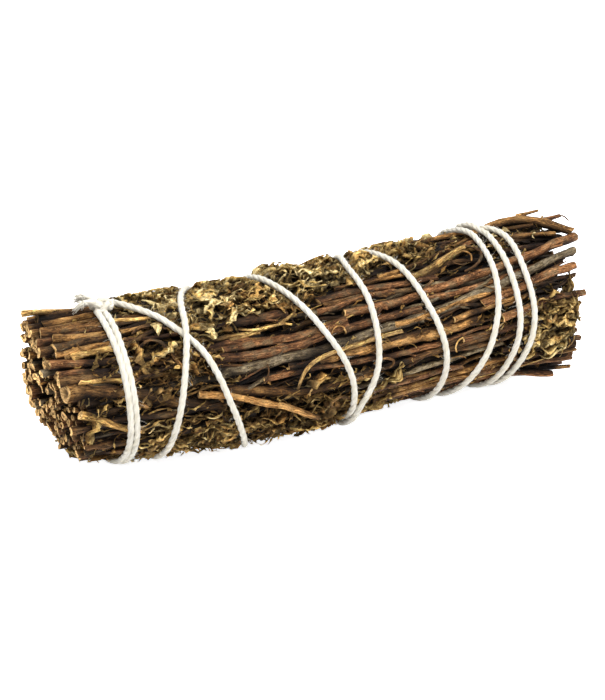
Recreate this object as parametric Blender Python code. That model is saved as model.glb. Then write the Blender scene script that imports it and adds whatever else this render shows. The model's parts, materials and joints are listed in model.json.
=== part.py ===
"""Smudge stick: a hand-tied bundle of dried woody herb stems and crumpled leaves, bound with one
length of cotton twine that is knotted near the cut ends, spirals out to the tips and comes back.

The bundle lies along X with its cut ends at -X and its tips at +X, and rests on the plane z = 0.
Around the bundle an angle of 0 is the top, a quarter turn is the front (-Y), a half turn is the
underside and three quarters is the back. Lengths are in metres.
"""

import math
import random

import bmesh
import bpy
import numpy as np
from mathutils import Vector, noise

MM = 0.001

# The bundle
LENGTH = 127 * MM
HALF_LENGTH = LENGTH / 2
AXIS_HEIGHT = 17.2 * MM
AXIS_Y = -0.7 * MM  # centres the whole, whose twine stands out furthest where it crosses itself at the back
WRAP_RADIUS = 18.1 * MM  # from the bundle's axis to the middle of the twine
WRAP_TAPER = 0.037  # the bundle is this much thicker at its tips than at its middle
TWIST = math.radians(-50)  # how far the stems turn about the axis from cut end to tip
CLEARANCE = 0.3 * MM

# The twine
TWINE_DIAMETER = 1.6 * MM
TWINE_LIFT = 0.06 * MM  # how far its lowest turns stay off the table
POINTS_PER_TURN = 14
CROSSING_RISE = TWINE_DIAMETER + 0.25 * MM
CROSSING_FLAT = 3.6 * MM  # the upper strand is fully raised this near a crossing
CROSSING_END = 9.5 * MM  # and is back on the bundle at this distance

# The route of the twine: (turns from the top, millimetres along X). The angle always grows.
TWINE_ROUTE = (
    # two turns side by side, round the cut ends
    (0.0, -48.4), (0.25, -48.5), (0.375, -48.9), (0.5, -49.5), (0.75, -49.5),
    (1.0, -47.2), (1.25, -46.5), (1.375, -46.9), (1.5, -47.5), (1.75, -47.5), (1.92, -46.9),
    # out to the tips in three wide turns
    (2.0, -42.4), (2.125, -31.7), (2.25, -26.5), (2.375, -21.7), (2.5, -17.5), (2.75, -13.5),
    (3.0, -10.2), (3.125, -4.7), (3.25, 1.7), (3.375, 3.5), (3.5, 4.4), (3.75, 11.0),
    (4.0, 18.1), (4.125, 21.5), (4.25, 25.0), (4.375, 24.3), (4.5, 22.8), (4.625, 23.6), (4.75, 32.5),
    # three close turns behind the tips
    (5.0, 47.2), (5.125, 47.5), (5.25, 46.9), (5.375, 42.4), (5.5, 39.3), (5.75, 41.6),
    (6.0, 44.4), (6.125, 44.0), (6.25, 43.2), (6.375, 39.6), (6.5, 36.6), (6.75, 38.8),
    # and back to the knot over what is already there
    (7.0, 41.4), (7.125, 40.0), (7.25, 36.3), (7.375, 30.8), (7.5, 27.0), (7.625, 25.6), (7.75, 18.5),
    (8.0, 9.0), (8.125, 8.9), (8.25, 8.0), (8.375, 3.9), (8.5, 1.0), (8.75, -14.0),
    (9.0, -29.7), (9.125, -33.8), (9.25, -37.4), (9.375, -39.8), (9.5, -41.0), (9.75, -43.3),
    (9.93, -45.4),
)

# The knot
KNOT_X = -47.2 * MM
KNOT_SIZE = (6.2 * MM, 4.6 * MM, 3.9 * MM)  # along the bundle, across it and up
KNOT_RISE = 1.0 * MM  # its middle is this far outside the twine's own line
TAIL_ENDS = ((-53.6 * MM, -2.6 * MM, 1.5 * MM), (-52.6 * MM, 2.2 * MM, 2.7 * MM))

# The stems, in rings from the outside in: how many, and the middle of the ring from the axis
STEM_RINGS = ((24, 15.05 * MM), (14, 11.0 * MM), (8, 6.8 * MM), (3, 2.6 * MM))
STEM_RADIUS = (0.95 * MM, 1.5 * MM)
STEM_REACH = 16.45 * MM  # nothing of a stem lies further out, so the twine clears it
STATIONS = (0, 0.27, 0.54, 0.81, 1)  # the points along an outer stem, as shares of its length
INNER_STATIONS = (0, 0.5, 1)
STEM_TIP_SHARE = 0.72  # the tip's radius as a share of the cut end's
BASE_DOME = 1.7 * MM  # the outer stems are cut this much shorter than the middle ones
BASE_SLANT = 4.8 * MM  # and those low at the front this much shorter than those high at the back
BASE_LEAN = math.radians(35)  # from the top to where the outer stems reach furthest, towards the back
BASE_INSET = 0.07  # the cut ends draw in by this share of their distance from the axis
BASE_RAGGED = 2.2 * MM
TIP_RAGGED = 6.0 * MM
TIP_SLANT = 6.0 * MM  # the tips underneath end this much before those on top
TIP_SPREAD = 0.10  # the tips fan out by this share of their distance from the axis
WOBBLE = 0.14 * MM

# The packed leaves
LEAF_ENDS = (-57.5 * MM, 57.5 * MM)
LEAF_SIDES = 28
LEAF_RINGS = 24
LEAF_UNDER_TWINE = 16.5 * MM
LEAF_LOW = 14.4 * MM  # where stems lie bare on the leaves
LEAF_HIGH = 18.7 * MM  # where the leaves bulge between two turns of twine
LEAF_UNDERSIDE = 20.6 * MM  # before it is pressed flat on the table
LEAF_LUMP = 0.9 * MM
LEAF_END_INSET = 0.13  # the leaves draw in by this share at each end, where the stems stand out of them
TWINE_VALLEY = (3.0 * MM, 6.4 * MM)  # the leaves start to rise, and are fully up, this far from the twine
LUMP_SIZE = 4.5 * MM
PATCH_SIZE = 16 * MM

BROWN_BARK = ("brown_bark", (0.135, 0.062, 0.030), 0.72)
GREY_BARK = ("grey_bark", (0.170, 0.140, 0.105), 0.80)
TAN_BARK = ("tan_bark", (0.260, 0.150, 0.070), 0.70)
DRY_LEAF = ("dry_leaf", (0.115, 0.088, 0.042), 0.85)
COTTON = ("cotton_twine", (0.86, 0.82, 0.71), 0.90)


def clear_scene():
    for obj in list(bpy.data.objects):
        bpy.data.objects.remove(obj)


def new_collection(name):
    collection = bpy.data.collections.new(name)
    bpy.context.scene.collection.children.link(collection)
    return collection


def finish_material(name, colour, roughness):
    """A plain Principled material, made once and shared by the pieces that have that finish."""
    made = bpy.data.materials.get(name)
    if made:
        return made
    made = bpy.data.materials.new(name)
    made.use_nodes = True
    made.diffuse_color = (*colour, 1)
    shader = made.node_tree.nodes["Principled BSDF"]
    shader.inputs["Base Color"].default_value = (*colour, 1)
    shader.inputs["Roughness"].default_value = roughness
    shader.inputs["Metallic"].default_value = 0
    return made


def smooth_step(value, low, high):
    t = min(max((value - low) / (high - low), 0), 1)
    return t * t * (3 - 2 * t)


def wrap_radius(x):
    """How far the middle of the twine runs from the bundle's axis, at this place along it."""
    return WRAP_RADIUS * (1 + WRAP_TAPER * x / HALF_LENGTH)


def place(x, angle, reach):
    """The point at this distance from the axis. The lower half is pressed up, so the twine clears the table."""
    up = math.cos(angle)
    if up < 0:
        up *= (AXIS_HEIGHT - TWINE_DIAMETER / 2 - TWINE_LIFT) / wrap_radius(x)
    return Vector((x, AXIS_Y - reach * math.sin(angle), AXIS_HEIGHT + reach * up))


# ---------------------------------------------------------------- twine


def route_x(turns):
    """Where the twine is along X after so many turns: a smooth curve through TWINE_ROUTE."""
    last = len(TWINE_ROUTE) - 1
    i = 0
    while i < last - 1 and TWINE_ROUTE[i + 1][0] <= turns:
        i += 1
    (t1, x1), (t2, x2) = TWINE_ROUTE[i], TWINE_ROUTE[i + 1]
    t0, x0 = TWINE_ROUTE[max(i - 1, 0)]
    t3, x3 = TWINE_ROUTE[min(i + 2, last)]
    span = t2 - t1
    slope1 = (x2 - x0) / (t2 - t0) * span
    slope2 = (x3 - x1) / (t3 - t1) * span
    s = (turns - t1) / span
    return MM * (
        (2 * s**3 - 3 * s**2 + 1) * x1
        + (s**3 - 2 * s**2 + s) * slope1
        + (3 * s**2 - 2 * s**3) * x2
        + (s**3 - s**2) * slope2
    )


def crossings():
    """The turns at which a later strand passes over an earlier one."""
    fine_steps = 96
    last_turn = TWINE_ROUTE[-1][0]
    found = []
    for step in range(fine_steps, int(last_turn * fine_steps)):
        here, after = step / fine_steps, (step + 1) / fine_steps
        for back in range(1, int(here) + 1):
            before = route_x(here) - route_x(here - back)
            beyond = route_x(after) - route_x(after - back)
            if before * beyond < 0:
                found.append((here + after) / 2)
    return found


def twine_points():
    """The middle line of the twine, raised where it passes over itself."""
    over = crossings()
    first, last = TWINE_ROUTE[0][0], TWINE_ROUTE[-1][0]
    count = round((last - first) * POINTS_PER_TURN)
    points = []
    for k in range(count + 1):
        turns = first + (last - first) * k / count
        x = route_x(turns)
        flat = place(x, turns * math.tau, wrap_radius(x))
        rise = 0
        for crossing in over:
            if abs(turns - crossing) < 0.25:
                x_over = route_x(crossing)
                away = (place(x_over, crossing * math.tau, wrap_radius(x_over)) - flat).length
                rise = max(rise, CROSSING_RISE * (1 - smooth_step(away, CROSSING_FLAT, CROSSING_END)))
        points.append(place(x, turns * math.tau, wrap_radius(x) + rise))
    return points


def tube(name, points, radii, bevel_resolution):
    """A curve through the points, with filled ends and its own radius at each point."""
    curve = bpy.data.curves.new(name, "CURVE")
    curve.dimensions = "3D"
    curve.twist_mode = "MINIMUM"
    curve.bevel_depth = 1
    curve.bevel_resolution = bevel_resolution
    curve.use_fill_caps = True
    spline = curve.splines.new("POLY")
    spline.points.add(len(points) - 1)
    for spot, point, radius in zip(spline.points, points, radii, strict=True):
        spot.co = (*point, 1)
        spot.radius = radius
    return bpy.data.objects.new(name, curve)


def as_mesh(obj, collection):
    """The same tube as a closed mesh, for a Boolean. The curve is removed."""
    bpy.context.scene.collection.objects.link(obj)
    bpy.context.view_layer.update()
    evaluated = obj.evaluated_get(bpy.context.evaluated_depsgraph_get())
    mesh = bpy.data.meshes.new_from_object(evaluated)
    solid = bpy.data.objects.new(obj.name + "_solid", mesh)
    solid.matrix_world = obj.matrix_world
    bpy.data.objects.remove(obj)
    shape = bmesh.new()
    shape.from_mesh(mesh)
    bmesh.ops.remove_doubles(shape, verts=shape.verts, dist=0.01 * MM)
    bmesh.ops.recalc_face_normals(shape, faces=shape.faces)
    shape.to_mesh(mesh)
    shape.free()
    collection.objects.link(solid)
    return solid


def helper(obj):
    """A cutter or a piece to be joined: it isn't part of the object by itself."""
    obj.hide_render = True
    obj.display_type = "WIRE"
    return obj


def combine(target, other, operation):
    modifier = target.modifiers.new(operation.lower(), "BOOLEAN")
    modifier.operation = operation
    modifier.object = other
    modifier.use_self = True


def knot_shapes(collection):
    """The knot as a rounded lump with a band round it, and its two short tails lying towards the cut ends."""
    middle = place(KNOT_X, 0, wrap_radius(KNOT_X) + KNOT_RISE)
    bpy.ops.mesh.primitive_uv_sphere_add(segments=12, ring_count=8, radius=0.5, location=middle)
    lump = bpy.context.object
    lump.name = "knot_lump"
    lump.scale = KNOT_SIZE
    bpy.ops.mesh.primitive_torus_add(
        location=middle + Vector((0.4 * MM, 0, 0.1 * MM)),
        rotation=(0, math.radians(82), math.radians(14)),
        major_radius=0.28 * KNOT_SIZE[1],
        minor_radius=TWINE_DIAMETER / 2,
        major_segments=14,
        minor_segments=8,
    )
    band = bpy.context.object
    band.name = "knot_band"
    shapes = [lump, band]
    for number, (x, y, up) in enumerate(TAIL_ENDS, 1):
        end = Vector((x, y, place(x, 0, wrap_radius(x)).z + up))
        bend = middle.lerp(end, 0.55) + Vector((0, 0, 0.5 * MM))
        radii = [TWINE_DIAMETER / 2 * share for share in (0.9, 1.0, 1.12)]
        shapes.append(as_mesh(tube(f"knot_tail_{number}", [middle, bend, end], radii, 1), collection))
    for shape in (lump, band):
        for holder in list(shape.users_collection):
            holder.objects.unlink(shape)
        collection.objects.link(shape)
    return [helper(shape) for shape in shapes]


def make_twine(collection, cutters):
    points = twine_points()
    strand = tube("twine", points, [TWINE_DIAMETER / 2] * len(points), 1)
    twine = as_mesh(strand, collection)
    twine.name = "twine"
    for shape in knot_shapes(cutters):
        combine(twine, shape, "UNION")
    twine.data.materials.append(finish_material(*COTTON))
    return twine


# ---------------------------------------------------------------- stems


def stem_line(ring_reach, start_angle, radius, ends, phase, stations):
    """The middle line of one stem, from its cut end to its tip, turning slowly about the bundle's axis."""
    points = []
    for share in stations:
        x = ends[0] + (ends[1] - ends[0]) * share
        angle = start_angle + TWIST * x / LENGTH
        angle += WOBBLE / max(ring_reach, 4 * MM) * math.sin(phase + 7.0 * share)
        flare = TIP_SPREAD * smooth_step(x, 0.78 * HALF_LENGTH, 1.1 * HALF_LENGTH)
        flare -= BASE_INSET * smooth_step(-x, 0.80 * HALF_LENGTH, HALF_LENGTH)
        reach = min(ring_reach, STEM_REACH - radius) * wrap_radius(x) / WRAP_RADIUS
        points.append(place(x, angle, reach * (1 + flare)))
    return points


def stem_plans():
    """For each stem its middle line, its radius at each point and its bark."""
    chance = random.Random(11)
    plans = []
    for ring, (count, ring_reach) in enumerate(STEM_RINGS):
        for k in range(count):
            radius = chance.uniform(*STEM_RADIUS)
            angle = math.tau * (k + 0.5 * (ring % 2)) / count + chance.uniform(-0.01, 0.01)
            share_out = ring_reach / STEM_RINGS[0][1]
            start = -HALF_LENGTH + BASE_DOME * share_out**2 + chance.uniform(0, BASE_RAGGED)
            start += BASE_SLANT * share_out * (1 - math.cos(angle - TWIST / 2 + BASE_LEAN)) / 2
            end = HALF_LENGTH - chance.uniform(0, TIP_RAGGED)
            end -= TIP_SLANT * share_out * (1 - math.cos(angle + TWIST / 2)) / 2
            if ring == 0 and k == 1:
                start = -HALF_LENGTH
            if ring == 0 and k == 3:
                end = HALF_LENGTH
            phase = chance.uniform(0, math.tau)
            stations = INNER_STATIONS if ring else STATIONS
            line = stem_line(ring_reach, angle, radius, (start, end), phase, stations)
            radii = [radius * (1 + (STEM_TIP_SHARE - 1) * share) for share in stations]
            bark = chance.choice((BROWN_BARK, BROWN_BARK, BROWN_BARK, GREY_BARK, TAN_BARK))
            plans.append((line, radii, bark))
    return plans


def make_stems(plans, collection):
    for number, (line, radii, bark) in enumerate(plans, 1):
        stem = tube(f"stem_{number:02d}", line, radii, 1)
        stem.data.materials.append(finish_material(*bark))
        collection.objects.link(stem)


def make_stem_cutter(plans, collection):
    """One mesh of every stem, a little fatter and longer, that clears the stems' ways through the leaves."""
    joined = bmesh.new()
    for number, (line, radii, _) in enumerate(plans, 1):
        start, end = line[0], line[-1]
        longer = [start - Vector((4 * MM, 0, 0)), *line[1:-1], end + Vector((4 * MM, 0, 0))]
        longer[0].yz = start.yz + (start.yz - line[1].yz) * (4 * MM / (line[1].x - start.x))
        longer[-1].yz = end.yz + (end.yz - line[-2].yz) * (4 * MM / (end.x - line[-2].x))
        way = tube(f"way_{number:02d}", longer, [radius + CLEARANCE for radius in radii], 1)
        solid = as_mesh(way, collection)
        joined.from_mesh(solid.data)
        bpy.data.objects.remove(solid)
    mesh = bpy.data.meshes.new("stem_ways")
    joined.to_mesh(mesh)
    joined.free()
    cutter = bpy.data.objects.new("stem_ways", mesh)
    collection.objects.link(cutter)
    return helper(cutter)


# ---------------------------------------------------------------- leaves


def leaf_cover(x, angle):
    """1 where leaves hide the stems, as along the top, and 0 where stems lie bare, as at the cut ends."""
    spot = Vector((x, WRAP_RADIUS * math.sin(angle), WRAP_RADIUS * math.cos(angle))) / PATCH_SIZE
    patches = 0.9 * noise.noise(spot + Vector((3.1, 0.4, 7.7)))
    towards_top = smooth_step(math.cos(angle + math.radians(8)), 0.35, 0.8)
    away_from_cut = smooth_step(x, -48 * MM, -32 * MM)
    away_from_tips = 1 - smooth_step(x, 20 * MM, 42 * MM)
    lie = 0.75 * towards_top * away_from_cut * (0.35 + 0.65 * away_from_tips) + patches
    return smooth_step(lie, 0.15, 0.5)


def leaf_reach(x, angle, twine_line):
    """How far the packed leaves reach from the axis."""
    spot = place(x, angle, wrap_radius(x))
    nearest = float(np.min(np.linalg.norm(twine_line - np.array(spot), axis=1)))
    rise = smooth_step(nearest, *TWINE_VALLEY)
    lump = LEAF_LUMP * noise.noise(spot / LUMP_SIZE)
    open_reach = LEAF_LOW + (LEAF_HIGH - LEAF_LOW) * leaf_cover(x, angle) + lump
    underneath = smooth_step(-math.cos(angle), 0.80, 0.95)
    open_reach += (LEAF_UNDERSIDE - open_reach) * underneath
    tied = min(open_reach, LEAF_UNDER_TWINE)
    inset = 1 - LEAF_END_INSET * smooth_step(abs(x), 0.82 * HALF_LENGTH, LEAF_ENDS[1])
    return (tied + (open_reach - tied) * rise) * inset * wrap_radius(x) / WRAP_RADIUS


def make_leaves(collection, cutter):
    """The packed leaves: one lumpy body, pinched under the twine, with a way through it for every stem."""
    shape = bmesh.new()
    bmesh.ops.create_cone(
        shape, cap_ends=True, cap_tris=True, segments=LEAF_SIDES, radius1=1, radius2=1, depth=1
    )
    lengthwise = [edge for edge in shape.edges if abs(edge.verts[0].co.z - edge.verts[1].co.z) > 0.5]
    bmesh.ops.subdivide_edges(shape, edges=lengthwise, cuts=LEAF_RINGS - 1)
    line = np.array([list(point) for point in fine_twine_line()])
    for vert in shape.verts:
        angle = math.atan2(vert.co.y, vert.co.x)
        x = LEAF_ENDS[0] + (LEAF_ENDS[1] - LEAF_ENDS[0]) * (vert.co.z + 0.5)
        if vert.co.xy.length < 0.5:
            vert.co = place(x, 0, 0)
            continue
        x += 1.2 * MM * math.sin(5 * angle) * (2 * vert.co.z) ** 8
        vert.co = place(x, angle, leaf_reach(x, angle, line))
        vert.co.z = max(vert.co.z, 0)
    bmesh.ops.recalc_face_normals(shape, faces=shape.faces)
    mesh = bpy.data.meshes.new("packed_leaves")
    shape.to_mesh(mesh)
    shape.free()
    leaves = bpy.data.objects.new("packed_leaves", mesh)
    collection.objects.link(leaves)
    combine(leaves, cutter, "DIFFERENCE")
    keep_largest_body(leaves)
    leaves.data.materials.append(finish_material(*DRY_LEAF))
    return leaves


def keep_largest_body(obj):
    """Carries out the Boolean and drops the loose slivers it leaves between the stems."""
    bpy.context.view_layer.update()
    evaluated = obj.evaluated_get(bpy.context.evaluated_depsgraph_get())
    mesh = bpy.data.meshes.new_from_object(evaluated)
    obj.modifiers.clear()
    shape = bmesh.new()
    shape.from_mesh(mesh)
    unseen = set(shape.faces)
    bodies = []
    while unseen:
        body, rim = [], [unseen.pop()]
        while rim:
            face = rim.pop()
            body.append(face)
            for edge in face.edges:
                for other in edge.link_faces:
                    if other in unseen:
                        unseen.remove(other)
                        rim.append(other)
        bodies.append(body)
    bodies.sort(key=len)
    loose = [face for body in bodies[:-1] for face in body]
    bmesh.ops.delete(shape, geom=loose, context="FACES")
    mesh.materials.clear()
    shape.to_mesh(mesh)
    shape.free()
    obj.data = mesh


def fine_twine_line():
    """Points along the twine, close enough together to measure distances from it."""
    steps = 90
    last = TWINE_ROUTE[-1][0]
    for k in range(int(last * steps) + 1):
        turns = k / steps
        x = route_x(turns)
        yield place(x, turns * math.tau, wrap_radius(x))


def main():
    clear_scene()
    bundle = new_collection("smudge_stick")
    cutters = new_collection("cutters")
    plans = stem_plans()
    make_stems(plans, bundle)
    make_leaves(bundle, make_stem_cutter(plans, cutters))
    make_twine(bundle, cutters)


main()
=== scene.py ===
"""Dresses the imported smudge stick: bark, cut wood, crumpled leaves and twisted cotton twine.

The bundle lies along X, with an angle of 0 at its top, a quarter turn at its front (-Y) and a half
turn underneath. A place on it is (x, angle, reach), where reach is the distance from its axis.
"""

import functools
import json
import math

import bpy
import numpy as np
from bpy.props import FloatProperty, FloatVectorProperty, IntProperty, PointerProperty
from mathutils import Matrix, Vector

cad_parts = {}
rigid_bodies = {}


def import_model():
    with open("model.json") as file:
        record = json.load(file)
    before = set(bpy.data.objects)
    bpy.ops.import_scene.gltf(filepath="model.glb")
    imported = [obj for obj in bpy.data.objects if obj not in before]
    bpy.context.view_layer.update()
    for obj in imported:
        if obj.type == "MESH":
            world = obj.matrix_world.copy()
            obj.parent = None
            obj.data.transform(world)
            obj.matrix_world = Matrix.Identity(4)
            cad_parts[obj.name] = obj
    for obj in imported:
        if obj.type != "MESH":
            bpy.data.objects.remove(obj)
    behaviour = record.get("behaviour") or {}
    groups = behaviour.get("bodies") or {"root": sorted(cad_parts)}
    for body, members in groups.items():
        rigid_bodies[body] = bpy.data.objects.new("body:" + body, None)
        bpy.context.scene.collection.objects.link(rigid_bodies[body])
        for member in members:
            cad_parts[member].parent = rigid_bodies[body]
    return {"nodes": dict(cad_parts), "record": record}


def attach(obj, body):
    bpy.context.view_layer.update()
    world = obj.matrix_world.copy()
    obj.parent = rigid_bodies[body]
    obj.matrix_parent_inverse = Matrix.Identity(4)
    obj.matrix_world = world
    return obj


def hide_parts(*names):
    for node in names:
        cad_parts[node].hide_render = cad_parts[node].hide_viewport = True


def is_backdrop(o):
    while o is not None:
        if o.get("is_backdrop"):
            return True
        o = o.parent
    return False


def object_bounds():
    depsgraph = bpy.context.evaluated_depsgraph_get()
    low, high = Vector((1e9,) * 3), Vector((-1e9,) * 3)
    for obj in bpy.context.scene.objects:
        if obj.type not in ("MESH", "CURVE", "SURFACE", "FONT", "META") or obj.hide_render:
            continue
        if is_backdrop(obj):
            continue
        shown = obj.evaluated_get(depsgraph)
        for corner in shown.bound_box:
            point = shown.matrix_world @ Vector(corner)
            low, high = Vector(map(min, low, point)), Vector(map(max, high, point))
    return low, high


bl_info = {
    "name": "Smudge stick",
    "version": (1, 0, 0),
    "blender": (4, 5, 0),
    "location": "View3D > Sidebar > Smudge stick",
    "description": "Builds the bark, leaves and twine of a hand-tied smudge stick, and a stage for it",
    "category": "Object",
}

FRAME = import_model()
CAD_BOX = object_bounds()

MM = 0.001
SLIMMER = 0.68  # a dressed stem's thickness as a share of its solid's, which stands in for its twigs too
HALF_LENGTH = 63.5 * MM
AXIS_HEIGHT = 17.2 * MM
AXIS_Y = -0.7 * MM
WRAP_RADIUS = 18.1 * MM
WRAP_TAPER = 0.037
LOWEST_TWINE = 0.86 * MM  # the height of the twine's middle where it runs under the bundle
SLANT = math.radians(-50) / 127  # how far the stems turn about the axis in each millimetre
SLANT_RATE = SLANT * 1000  # the same in each metre
BUNDLE_TOP = 17.0  # how far from the axis the uppermost stems' outsides lie, in mm
OUTER_REACH = 13 * MM  # a stem beyond it counts as an outer one, with more sides, stations and twigs
MAP_END = 66 * MM  # how far the map of the surface reaches along X, each way
TABLE_GAP = 0.05 * MM
KNOT_X = -47.2 * MM
CRISP = math.radians(55)  # the stems' edges stay crisp where they turn by more than this

# The first random seed of each kind of stem
MAIN_SEED, SURFACE_SEED, THIN_SEED, SLIVER_SEED, END_SEED = 100, 400, 900, 2000, 3000

# The route of the twine: (turns from the top, millimetres along X), as in the part
TWINE_ROUTE = (
    (0.0, -48.4), (0.25, -48.5), (0.375, -48.9), (0.5, -49.5), (0.75, -49.5),
    (1.0, -47.2), (1.25, -46.5), (1.375, -46.9), (1.5, -47.5), (1.75, -47.5), (1.92, -46.9),
    (2.0, -42.4), (2.125, -31.7), (2.25, -26.5), (2.375, -21.7), (2.5, -17.5), (2.75, -13.5),
    (3.0, -10.2), (3.125, -4.7), (3.25, 1.7), (3.375, 3.5), (3.5, 4.4), (3.75, 11.0),
    (4.0, 18.1), (4.125, 21.5), (4.25, 25.0), (4.375, 24.3), (4.5, 22.8), (4.625, 23.6), (4.75, 32.5),
    (5.0, 47.2), (5.125, 47.5), (5.25, 46.9), (5.375, 42.4), (5.5, 39.3), (5.75, 41.6),
    (6.0, 44.4), (6.125, 44.0), (6.25, 43.2), (6.375, 39.6), (6.5, 36.6), (6.75, 38.8),
    (7.0, 41.4), (7.125, 40.0), (7.25, 36.3), (7.375, 30.8), (7.5, 27.0), (7.625, 25.6), (7.75, 18.5),
    (8.0, 9.0), (8.125, 8.9), (8.25, 8.0), (8.375, 3.9), (8.5, 1.0), (8.75, -14.0),
    (9.0, -29.7), (9.125, -33.8), (9.25, -37.4), (9.375, -39.8), (9.5, -41.0), (9.75, -43.3),
    (9.93, -45.4),
)

RED, GREY, TAN, DARK, STRAW, CUT_WOOD = range(6)

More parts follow.
